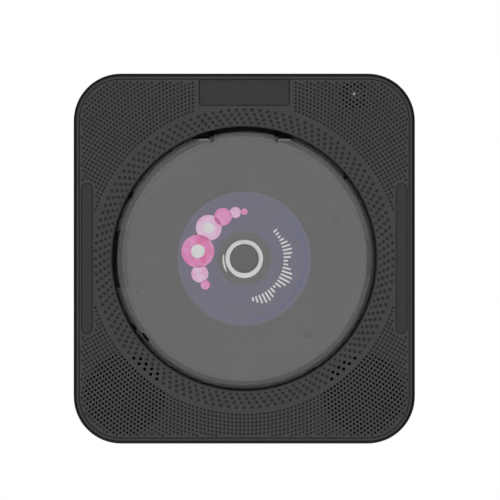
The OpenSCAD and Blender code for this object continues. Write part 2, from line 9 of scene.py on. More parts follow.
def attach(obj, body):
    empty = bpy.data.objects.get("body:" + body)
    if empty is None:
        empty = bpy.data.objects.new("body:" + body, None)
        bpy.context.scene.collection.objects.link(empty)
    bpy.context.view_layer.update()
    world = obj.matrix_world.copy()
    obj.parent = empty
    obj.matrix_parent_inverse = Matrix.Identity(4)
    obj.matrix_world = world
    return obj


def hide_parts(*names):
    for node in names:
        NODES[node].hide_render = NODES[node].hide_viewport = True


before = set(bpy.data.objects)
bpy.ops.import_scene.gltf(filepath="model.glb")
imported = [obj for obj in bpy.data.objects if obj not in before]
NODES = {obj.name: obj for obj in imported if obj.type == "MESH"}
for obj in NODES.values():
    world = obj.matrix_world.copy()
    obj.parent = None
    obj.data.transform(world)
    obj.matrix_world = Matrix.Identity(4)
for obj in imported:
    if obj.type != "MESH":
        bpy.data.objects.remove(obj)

MM = 0.001
scene = bpy.context.scene
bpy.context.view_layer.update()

# ---------------------------------------------------------------- camera
FRONT = 0.038
DIST = 1.80
cam_data = bpy.data.cameras.new("front_camera")
cam_data.sensor_width = 36.0
cam_data.lens = 36.0 * DIST / 0.24375 * 1.0030
cam_data.clip_start, cam_data.clip_end = 0.05, 20.0
camera = bpy.data.objects.new("front_camera", cam_data)
camera.location = (0.00278, -(FRONT + DIST), 0.00418)
camera.rotation_euler = (math.pi / 2, 0.0, 0.0)
scene.collection.objects.link(camera)
scene.camera = camera
scene.view_settings.view_transform = "Standard"
scene.view_settings.look = "None"
scene.view_settings.exposure = 0.0
scene.view_settings.gamma = 1.0

# ---------------------------------------------------------------- studio light
SIDE_LIGHT = 0.24      # radiance that reaches the object from its sides
FRONT_LIGHT = 1.0      # from the front and the back
world = bpy.data.worlds.new("studio")
scene.world = world
world.use_nodes = True
wt = world.node_tree
wt.nodes.clear()
w_out = wt.nodes.new("ShaderNodeOutputWorld")
w_mix = wt.nodes.new("ShaderNodeMixShader")
w_seen = wt.nodes.new("ShaderNodeBackground")
w_seen.inputs["Color"].default_value = (1, 1, 1, 1)
w_seen.inputs["Strength"].default_value = 1.0
w_lit = wt.nodes.new("ShaderNodeBackground")
w_path = wt.nodes.new("ShaderNodeLightPath")
w_co = wt.nodes.new("ShaderNodeTexCoord")
w_sep = wt.nodes.new("ShaderNodeSeparateXYZ")
wt.links.new(w_co.outputs["Generated"], w_sep.inputs[0])


def wmath(op, a, b=None):
    n = wt.nodes.new("ShaderNodeMath")
    n.operation = op
    for i, v in enumerate((a, b)):
        if v is None:
            continue
        if isinstance(v, (int, float)):
            n.inputs[i].default_value = v
        else:
            wt.links.new(v, n.inputs[i])
    return n.outputs[0]


def wrange(v, a, b, c, d):
    n = wt.nodes.new("ShaderNodeMapRange")
    n.interpolation_type = "SMOOTHSTEP"
    wt.links.new(v, n.inputs["Value"])
    for k, x in zip(("From Min", "From Max", "To Min", "To Max"), (a, b, c, d)):
        n.inputs[k].default_value = x
    return n.outputs["Result"]


w_axis = wmath("MULTIPLY", w_sep.outputs["Y"], w_sep.outputs["Y"])
w_strength = wrange(w_axis, 0.16, 0.80, SIDE_LIGHT, FRONT_LIGHT)
w_top = wrange(w_sep.outputs["Z"], 0.6, 1.0, 0.0, 0.25)
w_strength = wmath("ADD", w_strength, w_top)
# a broad soft box high on the left
w_dot = wt.nodes.new("ShaderNodeVectorMath")
w_dot.operation = "DOT_PRODUCT"
wt.links.new(w_co.outputs["Generated"], w_dot.inputs[0])
w_dot.inputs[1].default_value = (-0.52, -0.55, 0.65)
w_soft = wrange(w_dot.outputs["Value"], 0.72, 0.98, 0.0, 0.30)
w_strength = wmath("ADD", w_strength, w_soft)
wt.links.new(w_strength, w_lit.inputs["Strength"])
w_lit.inputs["Color"].default_value = (1.0, 1.0, 1.0, 1)
wt.links.new(w_path.outputs["Is Camera Ray"], w_mix.inputs[0])
wt.links.new(w_lit.outputs[0], w_mix.inputs[1])
wt.links.new(w_seen.outputs[0], w_mix.inputs[2])
wt.links.new(w_mix.outputs[0], w_out.inputs[0])


# ---------------------------------------------------------------- materials
class Mat:
    """A node material with short helpers. Sizes are in millimetres."""

    def __init__(self, name):
        self.m = bpy.data.materials.new(name)
        self.m.use_nodes = True
        self.t = self.m.node_tree
        self.t.nodes.clear()
        out = self.t.nodes.new("ShaderNodeOutputMaterial")
        self.p = self.t.nodes.new("ShaderNodeBsdfPrincipled")
        self.t.links.new(self.p.outputs[0], out.inputs[0])
        self.co = self.t.nodes.new("ShaderNodeTexCoord").outputs["Object"]
        self._xyz = None

    def put(self, socket, v):
        if isinstance(v, (int, float)):
            socket.default_value = v
        elif isinstance(v, (tuple, list)):
            socket.default_value = tuple(v) + (1.0,) * (4 - len(v)) if len(socket.default_value) == 4 else tuple(v)
        else:
            self.t.links.new(v, socket)

    def set(self, **kw):
        for k, v in kw.items():
            self.put(self.p.inputs[k.replace("_", " ")], v)
        return self

    def xyz(self):
        if self._xyz is None:
            n = self.t.nodes.new("ShaderNodeSeparateXYZ")
            self.t.links.new(self.co, n.inputs[0])
            self._xyz = n.outputs
        return self._xyz

    def math(self, op, a, b=None, c=None, clamp=False):
        n = self.t.nodes.new("ShaderNodeMath")
        n.operation = op
        n.use_clamp = clamp
        for i, v in enumerate((a, b, c)):
            if v is not None:
                self.put(n.inputs[i], v)
        return n.outputs[0]

    def mapping(self, scale, turn=(0, 0, 0)):
        n = self.t.nodes.new("ShaderNodeMapping")
        self.t.links.new(self.co, n.inputs["Vector"])
        n.inputs["Scale"].default_value = scale
        n.inputs["Rotation"].default_value = turn
        return n.outputs[0]

    def noise(self, size, detail=3.0, rough=0.55, stretch=None, warp=0.0, turn=(0, 0, 0)):
        n = self.t.nodes.new("ShaderNodeTexNoise")
        s = 1000.0 / size
        if stretch is None and turn == (0, 0, 0):
            self.t.links.new(self.co, n.inputs["Vector"])
            n.inputs["Scale"].default_value = s
        else:
            self.t.links.new(self.mapping(tuple(s * k for k in (stretch or (1, 1, 1))), turn), n.inputs["Vector"])
            n.inputs["Scale"].default_value = 1.0
        n.inputs["Detail"].default_value = detail
        n.inputs["Roughness"].default_value = rough
        n.inputs["Distortion"].default_value = warp
        return n.outputs["Fac"]

    def voronoi(self, size, feature="F1"):
        n = self.t.nodes.new("ShaderNodeTexVoronoi")
        n.feature = feature
        self.t.links.new(self.co, n.inputs["Vector"])
        n.inputs["Scale"].default_value = 1000.0 / size
        return n.outputs["Distance"]

    def span(self, v, a, b, c, d, smooth=False):
        n = self.t.nodes.new("ShaderNodeMapRange")
        n.interpolation_type = "SMOOTHSTEP" if smooth else "LINEAR"
        self.put(n.inputs["Value"], v)
        for k, x in zip(("From Min", "From Max", "To Min", "To Max"), (a, b, c, d)):
            self.put(n.inputs[k], x)
        return n.outputs["Result"]

    def mix(self, f, a, b, blend="MIX"):
        n = self.t.nodes.new("ShaderNodeMix")
        n.data_type = "RGBA"
        n.blend_type = blend
        self.put(n.inputs["Factor"], f)
        self.put([s for s in n.inputs if s.name == "A" and s.type == "RGBA"][0], a)
        self.put([s for s in n.inputs if s.name == "B" and s.type == "RGBA"][0], b)
        return [s for s in n.outputs if s.type == "RGBA"][0]

    def bump(self, height, depth_mm, strength=1.0, under=None):
        n = self.t.nodes.new("ShaderNodeBump")
        n.inputs["Strength"].default_value = strength
        n.inputs["Distance"].default_value = depth_mm * MM
        self.t.links.new(height, n.inputs["Height"])
        if under is not None:
            self.t.links.new(under, n.inputs["Normal"])
        return n.outputs[0]

    def radius(self, x0=0.0, z0=0.0):
        x, _, z = self.xyz()
        a = self.math("SUBTRACT", x, x0 * MM)
        b = self.math("SUBTRACT", z, z0 * MM)
        return self.math("SQRT", self.math("ADD", self.math("MULTIPLY", a, a), self.math("MULTIPLY", b, b)))


def shade(c, k):
    return tuple(min(1.0, max(0.0, v * k)) for v in c[:3])


def plastic(name, base, rough=0.5, tone=0.10, grain=0.16, grain_depth=0.012, smudge=0.05, spec=0.5, coat=0.0, flecks=0.0, scuff=0.0):
    """Moulded plastic: slow tone drift, spark-eroded grain, handling marks in the gloss, faint hairline scuffs."""
    m = Mat(name)
    drift = m.noise(46.0, 2.0, 0.5)
    local = m.noise(5.5, 4.0, 0.6)
    f = m.math("ADD", m.math("MULTIPLY", drift, 0.65), m.math("MULTIPLY", local, 0.35))
    col = m.mix(m.span(f, 0.32, 0.68, 0.0, 1.0), shade(base, 1 - tone), shade(base, 1 + tone))
    if flecks:
        fleck = m.span(m.noise(0.33, 2.0, 0.7), 0.62, 0.78, 0.0, flecks)
        col = m.mix(fleck, col, shade(base, 2.2))
    g = m.noise(grain, 3.0, 0.6)
    marks = m.noise(9.0, 5.0, 0.62, warp=0.4)
    r = m.span(marks, 0.3, 0.72, rough - smudge, rough + smudge)
    r = m.math("ADD", r, m.span(g, 0.3, 0.7, -0.03, 0.03))
    if scuff:
        hair = m.noise(0.5, 2.0, 0.5, stretch=(0.02, 1.0, 1.0), turn=(0, 0.6, 0.2))
        hair = m.span(hair, 0.66, 0.74, 0.0, scuff)
        r = m.math("ADD", r, hair)
    n = m.bump(g, grain_depth, 0.7)
    n = m.bump(m.noise(14.0, 2.0, 0.5), 0.01, 0.35, under=n)
    m.set(Base_Color=col, Roughness=r, Normal=n)
    m.p.inputs["Specular IOR Level"].default_value = spec
    if coat:
        m.p.inputs["Coat Weight"].default_value = coat
        m.p.inputs["Coat Roughness"].default_value = 0.08
    return m


def metal(name, base, rough=0.3, brushed=None, tone=0.08, specks=0.0, fine=0.25):
    """Machined, pressed or plated metal: drawn lines or a fine grain, tone drift, dulled patches."""
    m = Mat(name)
    patches = m.noise(7.0, 5.0, 0.62, warp=0.3)
    col = m.mix(m.span(patches, 0.3, 0.7, 0.0, 1.0), shade(base, 1 - tone), shade(base, 1 + tone))
    if specks:
        col = m.mix(m.span(m.noise(0.7, 3.0, 0.6), 0.66, 0.8, 0.0, specks), col, shade(base, 0.45))
    if brushed is None:
        g = m.noise(fine, 3.0, 0.6)
    else:
        g = m.noise(0.16, 3.0, 0.6, stretch=brushed)
    r = m.math("ADD", m.span(g, 0.3, 0.7, rough - 0.06, rough + 0.06), m.span(patches, 0.3, 0.7, -0.05, 0.06))
    m.set(Base_Color=col, Roughness=r, Normal=m.bump(g, 0.006, 0.5))
    m.p.inputs["Metallic"].default_value = 1.0
    return m


def rubber(name, base=(0.016, 0.016, 0.017), rough=0.82, grain=0.4):
    m = Mat(name)
    dust = m.noise(2.6, 5.0, 0.65)
    col = m.mix(m.span(dust, 0.52, 0.8, 0.0, 0.55), base, shade(base, 2.3))
    g = m.noise(grain, 4.0, 0.6)
    m.set(Base_Color=col, Roughness=m.span(dust, 0.3, 0.7, rough - 0.08, rough + 0.08), Normal=m.bump(g, 0.03, 0.7))
    m.p.inputs["Specular IOR Level"].default_value = 0.35
    return m


def cloth(name, base=(0.007, 0.007, 0.0075), pitch=0.42):
    """Woven scrim: over-and-under threads along x and z."""
    m = Mat(name)
    x, _, z = m.xyz()
    k = 2 * math.pi / (pitch * MM)
    sx = m.math("SINE", m.math("MULTIPLY", x, k))
    sz = m.math("SINE", m.math("MULTIPLY", z, k))
    weave = m.math("MULTIPLY", sx, sz)
    fuzz = m.noise(0.12, 3.0, 0.7)
    h = m.math("ADD", m.math("MULTIPLY", weave, 0.5), m.math("MULTIPLY", fuzz, 0.5))
    col = m.mix(m.span(h, -0.2, 0.8, 0.0, 1.0), shade(base, 0.45), shade(base, 1.7))
    m.set(Base_Color=col, Roughness=m.span(fuzz, 0.3, 0.7, 0.85, 1.0), Normal=m.bump(h, 0.09, 0.8))
    m.p.inputs["Specular IOR Level"].default_value = 0.15
    m.p.inputs["Sheen Weight"].default_value = 0.05
    m.p.inputs["Sheen Roughness"].default_value = 0.5
    return m


def foam(name, base=(0.02, 0.02, 0.021)):
    m = Mat(name)
    cell = m.voronoi(0.8)
    h = m.math("ADD", cell, m.math("MULTIPLY", m.noise(0.25, 3.0), 0.4))
    col = m.mix(m.span(cell, 0.15, 0.75, 0.0, 1.0), shade(base, 0.35), shade(base, 1.6))
    m.set(Base_Color=col, Roughness=m.span(m.noise(3.0), 0.3, 0.7, 0.86, 0.98), Normal=m.bump(h, 0.2, 0.8))
    m.p.inputs["Specular IOR Level"].default_value = 0.2
    return m


def board(name, mask=(0.012, 0.055, 0.026), pad=(0.55, 0.53, 0.50)):
    """Circuit board: solder mask with copper tracks under it and a few tinned pads."""
    m = Mat(name)
    x, y, z = m.xyz()
    b = m.t.nodes.new("ShaderNodeTexBrick")
    m.t.links.new(m.mapping((320.0, 320.0, 320.0), (math.pi / 2, 0, 0)), b.inputs["Vector"])
    b.inputs["Scale"].default_value = 1.0
    b.inputs["Mortar Size"].default_value = 0.06
    b.inputs["Bias"].default_value = -0.4
    tracks = m.span(b.outputs["Fac"], 0.2, 0.8, 0.0, 0.55)
    col = m.mix(tracks, mask, shade(mask, 1.9))
    pads = m.span(m.voronoi(3.2), 0.10, 0.13, 1.0, 0.0)
    col = m.mix(pads, col, pad)
    mottled = m.noise(2.0, 4.0)
    col = m.mix(m.span(mottled, 0.3, 0.7, 0.0, 0.25), col, shade(mask, 0.6))
    m.set(Base_Color=col, Roughness=m.span(mottled, 0.3, 0.7, 0.28, 0.42), Metallic=pads,
          Normal=m.bump(m.math("ADD", tracks, pads), 0.03, 0.8))
    if mask[1] < 0.01:
        m.p.inputs["Specular IOR Level"].default_value = 0.12
    return m


def clear(name, tint=(0.985, 0.985, 0.985), ior=1.49, rough=0.012, haze=0.02, coat=0.0):
    """Clear moulded plastic: faint flow waves, a little haze that varies, hairline marks."""
    m = Mat(name)
    marks = m.noise(0.35, 2.0, 0.5, stretch=(0.02, 1.0, 1.0), turn=(0.0, 0.5, 0.3))
    haze_n = m.noise(11.0, 5.0, 0.6, warp=0.5)
    r = m.math("ADD", m.span(haze_n, 0.35, 0.75, rough, rough + haze), m.span(marks, 0.70, 0.76, 0.0, 0.06))
    m.set(Base_Color=tint, Roughness=r, Normal=m.bump(m.noise(18.0, 1.0), 0.004, 0.25))
    m.p.inputs["IOR"].default_value = ior
    m.p.inputs["Transmission Weight"].default_value = 1.0
    if coat:
        m.p.inputs["Coat Weight"].default_value = coat
        m.p.inputs["Coat IOR"].default_value = 1.49
        m.put(m.p.inputs["Coat Roughness"], r)
    return m


def ink(name, base, rough=0.36, tone=0.08, second=None, size=5.0, coat=0.25):
    """Screen-printed ink on a disc: a fine screen grain and slightly uneven lay-down."""
    m = Mat(name)
    lay = m.noise(size, 4.0, 0.6, warp=0.35)
    screen = m.noise(0.14, 2.0, 0.6)
    a, b = (shade(base, 1 - tone), shade(base, 1 + tone)) if second is None else (base, second)
    col = m.mix(m.span(lay, 0.3, 0.7, 0.0, 1.0, True), a, b)
    col = m.mix(m.span(screen, 0.45, 0.75, 0.0, 0.06), col, shade(base, 0.8))
    m.set(Base_Color=col, Roughness=m.span(lay, 0.3, 0.7, rough - 0.03, rough + 0.04), Normal=m.bump(screen, 0.0012, 0.2))
    m.p.inputs["Coat Weight"].default_value = coat
    m.p.inputs["Coat Roughness"].default_value = 0.12
    return m


M = {}
M["housing"] = plastic("satin_black_housing", (0.019, 0.019, 0.0192), 0.42, spec=0.56, scuff=0.04)


def outer_wall(m):
    """The rounding between the shell's front bead and its wall is painted darker and given less specular: painted shade
    where the rounding faces the dark sides.
    """
    x, _, z = m.xyz()
    qx = m.math("SUBTRACT", m.math("ABSOLUTE", x), 60.0 * MM)
    qz = m.math("SUBTRACT", m.math("ABSOLUTE", z), 67.0 * MM)
    px, pz = m.math("MAXIMUM", qx, 0.0), m.math("MAXIMUM", qz, 0.0)
    t = m.math("SUBTRACT", 23.0 * MM, m.math("SQRT", m.math("ADD", m.math("MULTIPLY", px, px), m.math("MULTIPLY", pz, pz))))
    t = m.math("SUBTRACT", t, m.math("MINIMUM", m.math("MAXIMUM", qx, qz), 0.0))
    front = m.span(m.xyz()[1], -36.1 * MM, -35.9 * MM, 1.0, 0.0)
    edge = m.math("MULTIPLY", front, m.span(t, 1.15 * MM, 1.8 * MM, 1.0, 0.0, True))
    m.put(m.p.inputs["Specular IOR Level"], m.span(edge, 0.0, 1.0, 0.56, 0.10))
    base = m.p.inputs["Base Color"].links[0].from_socket
    # painted shade: the rounding's colour is mixed towards near-black
    m.put(m.p.inputs["Base Color"], m.mix(edge, base, (0.008, 0.008, 0.0081)))


outer_wall(M["housing"])
M["grille"] = plastic("matte_black_grille", (0.0212, 0.0212, 0.0214), 0.46, grain=0.13, spec=0.62, flecks=0.12)
M["pit"] = plastic("dimple_pit", (0.025, 0.025, 0.0252), 0.6, grain=0.2, grain_depth=0.01, spec=0.58)
M["window"] = plastic("smoked_window", (0.0074, 0.0074, 0.0075), 0.24, grain=0.6, grain_depth=0.002, smudge=0.06, scuff=0.05)
M["window_edge"] = plastic("smoked_window_edge", (0.010, 0.010, 0.0105), 0.40, grain=0.2, grain_depth=0.006)
M["inlay"] = plastic("smooth_black_inlay", (0.0088, 0.0088, 0.0089), 0.34, grain=0.3, grain_depth=0.004, smudge=0.06, scuff=0.04)
M["well"] = plastic("well_black", (0.0075, 0.0075, 0.0078), 0.60, grain=0.3, grain_depth=0.03, spec=0.3)


def floor_painted_light(m, c):
    """The floor just outside the disc is a little paler: painted light, with the floor nearer the wall left darker as
    painted shade.
    """
    return m.mix(1.0, c, (1.62, 1.62, 1.62), "MULTIPLY")


def well_floor(m):
    """Plain moulded floor inside the wall, painted paler near the disc; the ledge on the wall painted dull and
    near-black, with its recesses and forward parts darker still: painted shade.
    """
    r = m.radius()
    floor_zone = m.span(r, 61.70 * MM, 61.78 * MM, 1.0, 0.0)
    deep = m.math("MULTIPLY", m.math("SUBTRACT", 1.0, floor_zone), m.span(m.xyz()[1], -32.0 * MM, -31.6 * MM, 0.0, 1.0))
    proud = m.span(m.xyz()[1], -33.3 * MM, -33.2 * MM, 1.0, 0.0)
    gloss = m.math("ADD", m.span(floor_zone, 0.0, 1.0, 0.24, 0.5), m.math("MULTIPLY", deep, -0.13))
    gloss = m.math("SUBTRACT", gloss, m.math("MULTIPLY", proud, 0.20))
    m.put(m.p.inputs["Specular IOR Level"], gloss)
    lay = m.noise(3.0, 4.0, 0.6)
    wall_painted_shade = m.mix(m.span(lay, 0.3, 0.7, 0.0, 1.0), (0.0050, 0.0050, 0.0051), (0.0066, 0.0066, 0.0067))
    pale = m.mix(m.span(lay, 0.3, 0.7, 0.0, 1.0), (0.038, 0.038, 0.0382), (0.046, 0.046, 0.0463))
    pale = m.mix(m.span(r, 60.7 * MM, 61.5 * MM, 0.0, 1.0, True), floor_painted_light(m, pale), pale)
    col = m.mix(floor_zone, wall_painted_shade, pale)
    # painted shade: near-black for the wall zone, recesses behind 31.6 mm and parts forward of 33.3 mm
    m.put(m.p.inputs["Base Color"], m.mix(proud, m.mix(deep, col, (0.0055, 0.0055, 0.0056)), (0.0022, 0.0022, 0.0023)))


well_floor(M["well"])
M["key"] = plastic("key_black", (0.024, 0.024, 0.0245), 0.48, grain=0.14, scuff=0.05)
M["key_ink"] = ink("key_legend", (0.62, 0.62, 0.61), 0.5, coat=0.0)
M["slider"] = plastic("slider_black", (0.022, 0.022, 0.0225), 0.42)
M["rubber"] = rubber("soft_rubber")
M["mat"] = rubber("hub_mat_rubber", (0.0105, 0.0105, 0.0106), 0.75, 0.3)
M["foam"] = foam("gasket_foam")
M["scrim"] = cloth("scrim_cloth")
M["cone"] = cloth("pressed_paper_cone", (0.022, 0.0215, 0.021), 0.9)
M["magnet"] = metal("nickel_magnet", (0.30, 0.30, 0.31), 0.38)
M["ferrite_black"] = plastic("sintered_ferrite", (0.005, 0.005, 0.0052), 0.5, grain=0.25, grain_depth=0.01, spec=0.2)
M["ferrite"] = metal("pressed_speaker_steel", (0.42, 0.42, 0.43), 0.34, specks=0.15)
M["steel"] = metal("ground_steel", (0.62, 0.62, 0.63), 0.16, brushed=(0.06, 1, 1))
M["ball"] = plastic("acetal_ball", (0.045, 0.045, 0.046), 0.5, grain=0.2, grain_depth=0.004, spec=0.3)
M["can"] = metal("zinc_motor_can", (0.52, 0.53, 0.55), 0.32, specks=0.2)
M["screw"] = metal("zinc_screw", (0.50, 0.51, 0.53), 0.30, specks=0.25)
M["screw_black"] = metal("black_oxide_screw", (0.055, 0.055, 0.058), 0.42, specks=0.2)
M["plate"] = metal("pressed_plate_steel", (0.50, 0.51, 0.52), 0.36, brushed=(0.04, 1, 1), specks=0.2)
M["socket"] = metal("tinned_socket_shell", (0.58, 0.58, 0.59), 0.26, brushed=(1, 1, 0.05))
M["alloy"] = metal("cast_sled_alloy", (0.36, 0.38, 0.40), 0.42, specks=0.3, fine=0.5)
M["chassis"] = plastic("glass_filled_chassis", (0.018, 0.018, 0.019), 0.52, grain=0.5, grain_depth=0.03, flecks=0.25)
M["gear"] = plastic("acetal_gear", (0.72, 0.70, 0.64), 0.34, tone=0.05, grain=0.4, grain_depth=0.004)
M["board"] = board("green_board")
M["board_black"] = board("black_board", (0.0020, 0.0024, 0.0022), (0.006, 0.006, 0.006))
M["chip"] = plastic("epoxy_chip", (0.014, 0.014, 0.015), 0.62, grain=0.1, grain_depth=0.02)
M["ir"] = plastic("receiver_epoxy", (0.006, 0.005, 0.006), 0.18, grain=1.0, grain_depth=0.002)
M["cover"] = clear("clear_cover", ior=1.02, haze=0.012, coat=1.0)
M["skirt"] = clear("clear_skirt", tint=(0.95, 0.95, 0.95), ior=1.02, haze=0.03, coat=0.5)
M["grip"] = clear("clear_grip_band", tint=(0.93, 0.93, 0.93), ior=1.02, rough=0.05, haze=0.05, coat=0.45)
# painted highlight for the stacking ring's glint
M["frost"] = plastic("frosted_ring", (0.86, 0.85, 0.85), 0.3, tone=0.04, grain=0.3, grain_depth=0.01)
# a pale part standing in for a highlight: painted highlight
M["bead"] = plastic("frosted_bead", (0.30, 0.30, 0.30), 0.3, tone=0.05, grain=0.3, grain_depth=0.01)
M["bead"].p.inputs["Transmission Weight"].default_value = 0.3
M["hub_clear"] = clear("disc_clear_hub", (0.972, 0.974, 0.972), 1.58, 0.01, 0.01)
M["disc_black"] = ink("disc_black_print", (0.0515, 0.0510, 0.0510), 0.30, tone=0.05, size=14.0)
M["disc_rim"] = ink("disc_dark_margin", (0.052, 0.0515, 0.052), 0.20, tone=0.04, size=9.0)
M["disc_edge"] = ink("disc_bare_margin", (0.029, 0.029, 0.0295), 0.20, tone=0.05, size=6.0)
M["label"] = ink("label_violet", (0.112, 0.096, 0.172), 0.34, tone=0.06, size=9.0)
M["pink"] = ink("label_pink", (0.88, 0.10, 0.42), 0.34, second=(0.95, 0.34, 0.72), size=7.0)
M["pink_light"] = ink("label_pale_pink", (0.93, 0.42, 0.76), 0.34, second=(0.97, 0.70, 0.90), size=6.0)
M["pink_deep"] = ink("label_magenta", (0.62, 0.045, 0.26), 0.34, second=(0.80, 0.10, 0.45), size=5.0)
M["slate"] = ink("label_slate_blue", (0.075, 0.085, 0.20), 0.34, tone=0.1, size=5.0)
M["white"] = ink("label_white", (0.88, 0.88, 0.87), 0.4, tone=0.03, size=3.0)


def data_side(name):
    """Reflective side of the disc: mirror metal with the tracks' rainbow sheen painted into its colour, changing along
    its radius and angle.
    """
    m = Mat(name)
    r = m.radius()
    x, _, z = m.xyz()
    ang = m.math("ARCTAN2", z, x)
    w = m.math("ADD", m.math("MULTIPLY", r, 90.0), m.math("MULTIPLY", m.math("SINE", m.math("MULTIPLY", ang, 4.0)), 0.22))
    ramp = m.t.nodes.new("ShaderNodeValToRGB")
    m.t.links.new(m.math("FRACT", w), ramp.inputs[0])
    el = ramp.color_ramp.elements
    el[0].position, el[0].color = 0.0, (0.72, 0.66, 0.72, 1)
    el[1].position, el[1].color = 1.0, (0.72, 0.66, 0.72, 1)
    for pos, c in ((0.2, (0.60, 0.68, 0.80)), (0.4, (0.60, 0.78, 0.68)), (0.6, (0.80, 0.79, 0.60)), (0.8, (0.82, 0.66, 0.60))):
        e = el.new(pos)
        e.color = c + (1,)
    tracks = m.math("SINE", m.math("MULTIPLY", r, 60000.0))
    m.set(Base_Color=ramp.outputs[0], Roughness=m.span(m.noise(12.0, 4.0), 0.3, 0.7, 0.07, 0.14), Normal=m.bump(tracks, 0.0006, 0.3))
    m.p.inputs["Metallic"].default_value = 1.0
    return m


M["data"] = data_side("disc_data_side")


def turntable_mat():
    """Black moulded hub with a bright metal seat ring round its nose."""
    m = Mat("hub_black_with_bright_seat")
    r = m.radius()
    ring = m.math("MULTIPLY", m.span(r, 7.33 * MM, 7.37 * MM, 0.0, 1.0), m.span(r, 9.12 * MM, 9.16 * MM, 1.0, 0.0))
    g = m.noise(0.2, 3.0)
    turned = m.math("SINE", m.math("MULTIPLY", r, 2 * math.pi / (0.12 * MM)))
    drift = m.noise(6.0, 4.0)
    black = m.mix(m.span(drift, 0.3, 0.7, 0.0, 1.0), (0.050, 0.050, 0.051), (0.060, 0.060, 0.061))
    bright = m.mix(m.span(drift, 0.3, 0.7, 0.0, 1.0), (0.86, 0.86, 0.86), (0.93, 0.93, 0.93))
    h = m.math("ADD", g, m.math("MULTIPLY", m.math("MULTIPLY", turned, ring), 0.5))
    m.set(Base_Color=m.mix(ring, black, bright), Metallic=m.math("MULTIPLY", ring, 0.85),
          Roughness=m.math("SUBTRACT", m.span(g, 0.3, 0.7, 0.42, 0.50), m.math("MULTIPLY", ring, 0.08)), Normal=m.bump(h, 0.006, 0.5))
    return m


M["turntable"] = turntable_mat()
M["seat"] = metal("bright_seat_ring", (0.93, 0.92, 0.92), 0.36, tone=0.04)
M["seat"].p.inputs["Metallic"].default_value = 0.85
# near-black with almost no specular: the magnet's own black, also used as painted shade on the hinge ears and in the
# edge notches
M["magnet_and_shade_black"] = plastic("near_black_magnet_painted_shade", (0.0015, 0.0015, 0.0016), 0.6, grain=0.25, grain_depth=0.008, spec=0.03)


def lens_mat():
    m = Mat("coated_lens")
    r = m.radius(23.5, 0.0)
    col = m.mix(m.span(r, 0.0, 2.4 * MM, 0.0, 1.0, True), (0.30, 0.42, 0.95), (0.12, 0.55, 0.62))
    col = m.mix(m.span(m.noise(1.2, 4.0), 0.4, 0.7, 0.0, 0.25), col, (0.35, 0.25, 0.75))
    m.set(Base_Color=col, Roughness=m.span(m.noise(0.9, 3.0), 0.3, 0.7, 0.03, 0.08))
    m.p.inputs["Coat Weight"].default_value = 1.0
    m.p.inputs["Coat Roughness"].default_value = 0.03
    return m


M["lens"] = lens_mat()


def led_mat():
    """Moulded light pipe; only its outer end is lit."""
    m = Mat("lit_light_pipe")
    _, y, _ = m.xyz()
    lit = m.span(y, -37.0 * MM, -36.8 * MM, 1.0, 0.0)
    milk = m.noise(0.4, 3.0)
    m.set(Base_Color=m.mix(m.span(milk, 0.3, 0.7, 0.0, 1.0), (0.30, 0.31, 0.32), (0.36, 0.37, 0.38)),
          Roughness=m.span(milk, 0.3, 0.7, 0.25, 0.4))
    m.p.inputs["Emission Color"].default_value = (0.93, 0.97, 1.0, 1)
    m.put(m.p.inputs["Emission Strength"], m.math("MULTIPLY", lit, 0.13))
    return m


M["led"] = led_mat()


def display_mat():
    m = Mat("display_can_and_board")
    _, y, _ = m.xyz()
    face = m.span(y, -30.3 * MM, -30.1 * MM, 1.0, 0.0)
    mott = m.noise(1.6, 4.0)
    green = m.mix(m.span(mott, 0.3, 0.7, 0.0, 1.0), (0.010, 0.045, 0.022), (0.016, 0.065, 0.032))
    black = m.mix(m.span(mott, 0.3, 0.7, 0.0, 1.0), (0.006, 0.006, 0.0065), (0.010, 0.010, 0.011))
    m.set(Base_Color=m.mix(face, green, black), Roughness=m.span(mott, 0.3, 0.7, 0.35, 0.5), Normal=m.bump(mott, 0.02, 0.4))
    return m


M["display"] = display_mat()


def switches_mat():
    m = Mat("switch_can_and_plunger")
    _, _, z = m.xyz()
    top = m.span(z, 82.79 * MM, 82.81 * MM, 0.0, 1.0)
    g = m.noise(0.3, 3.0)
    steel = m.mix(m.span(g, 0.3, 0.7, 0.0, 1.0), (0.48, 0.48, 0.49), (0.58, 0.58, 0.59))
    m.set(Base_Color=m.mix(top, steel, (0.014, 0.014, 0.015)), Metallic=m.math("SUBTRACT", 1.0, top),
          Roughness=m.span(g, 0.3, 0.7, 0.26, 0.38), Normal=m.bump(g, 0.006, 0.4))
    return m


M["switches"] = switches_mat()

USE = {
    "front_housing": "housing", "rear_cover": "housing", "grille_panel": "grille", "display_window": "window",
    "side_inlays": "inlay", "disc_well": "well", "catch_magnet": "ferrite_black", "cover_magnet": "ferrite_black", "dust_cover": "cover",
    "disc": "disc_black", "turntable": "turntable", "turntable_mat": "mat", "clamp_balls": "ball",
    "spindle_shaft": "steel", "spindle_motor": "can", "mechanism_chassis": "chassis", "damper_grommets": "rubber",
    "damper_screws": "screw", "guide_rods": "steel", "pickup_sled": "alloy", "sled_rack": "gear",
    "lens_actuator": "chip", "objective_lens": "lens", "idler_gear": "gear", "gear_pin": "steel",
    "motor_pinion": "gear", "sled_motor": "can", "speaker_scrims": "scrim", "speaker_gaskets": "foam",
    "speaker_frames": "ferrite", "speaker_cones": "cone", "speaker_magnets": "magnet", "display_module": "display",
    "sensor_board": "board_black", "ir_receiver": "ir", "status_led": "led", "key_board": "board",
    "tact_switches": "switches", "main_board": "board", "board_chips": "chip", "power_inlet": "chip",
    "usb_socket": "socket", "audio_socket": "chip", "power_switch": "socket", "power_slider": "slider",
    "deck_screws": "screw", "speaker_screws": "screw", "small_screws": "screw", "housing_screws": "screw_black",
    "rubber_feet": "rubber", "wall_plate": "plate",
    "source_key": "key", "previous_key": "key", "play_key": "key", "next_key": "key",
    "volume_down_key": "key", "volume_up_key": "key",
}
for node, ob in NODES.items():
    ob.data.materials.clear()
    ob.data.materials.append(M[USE[node]].m)


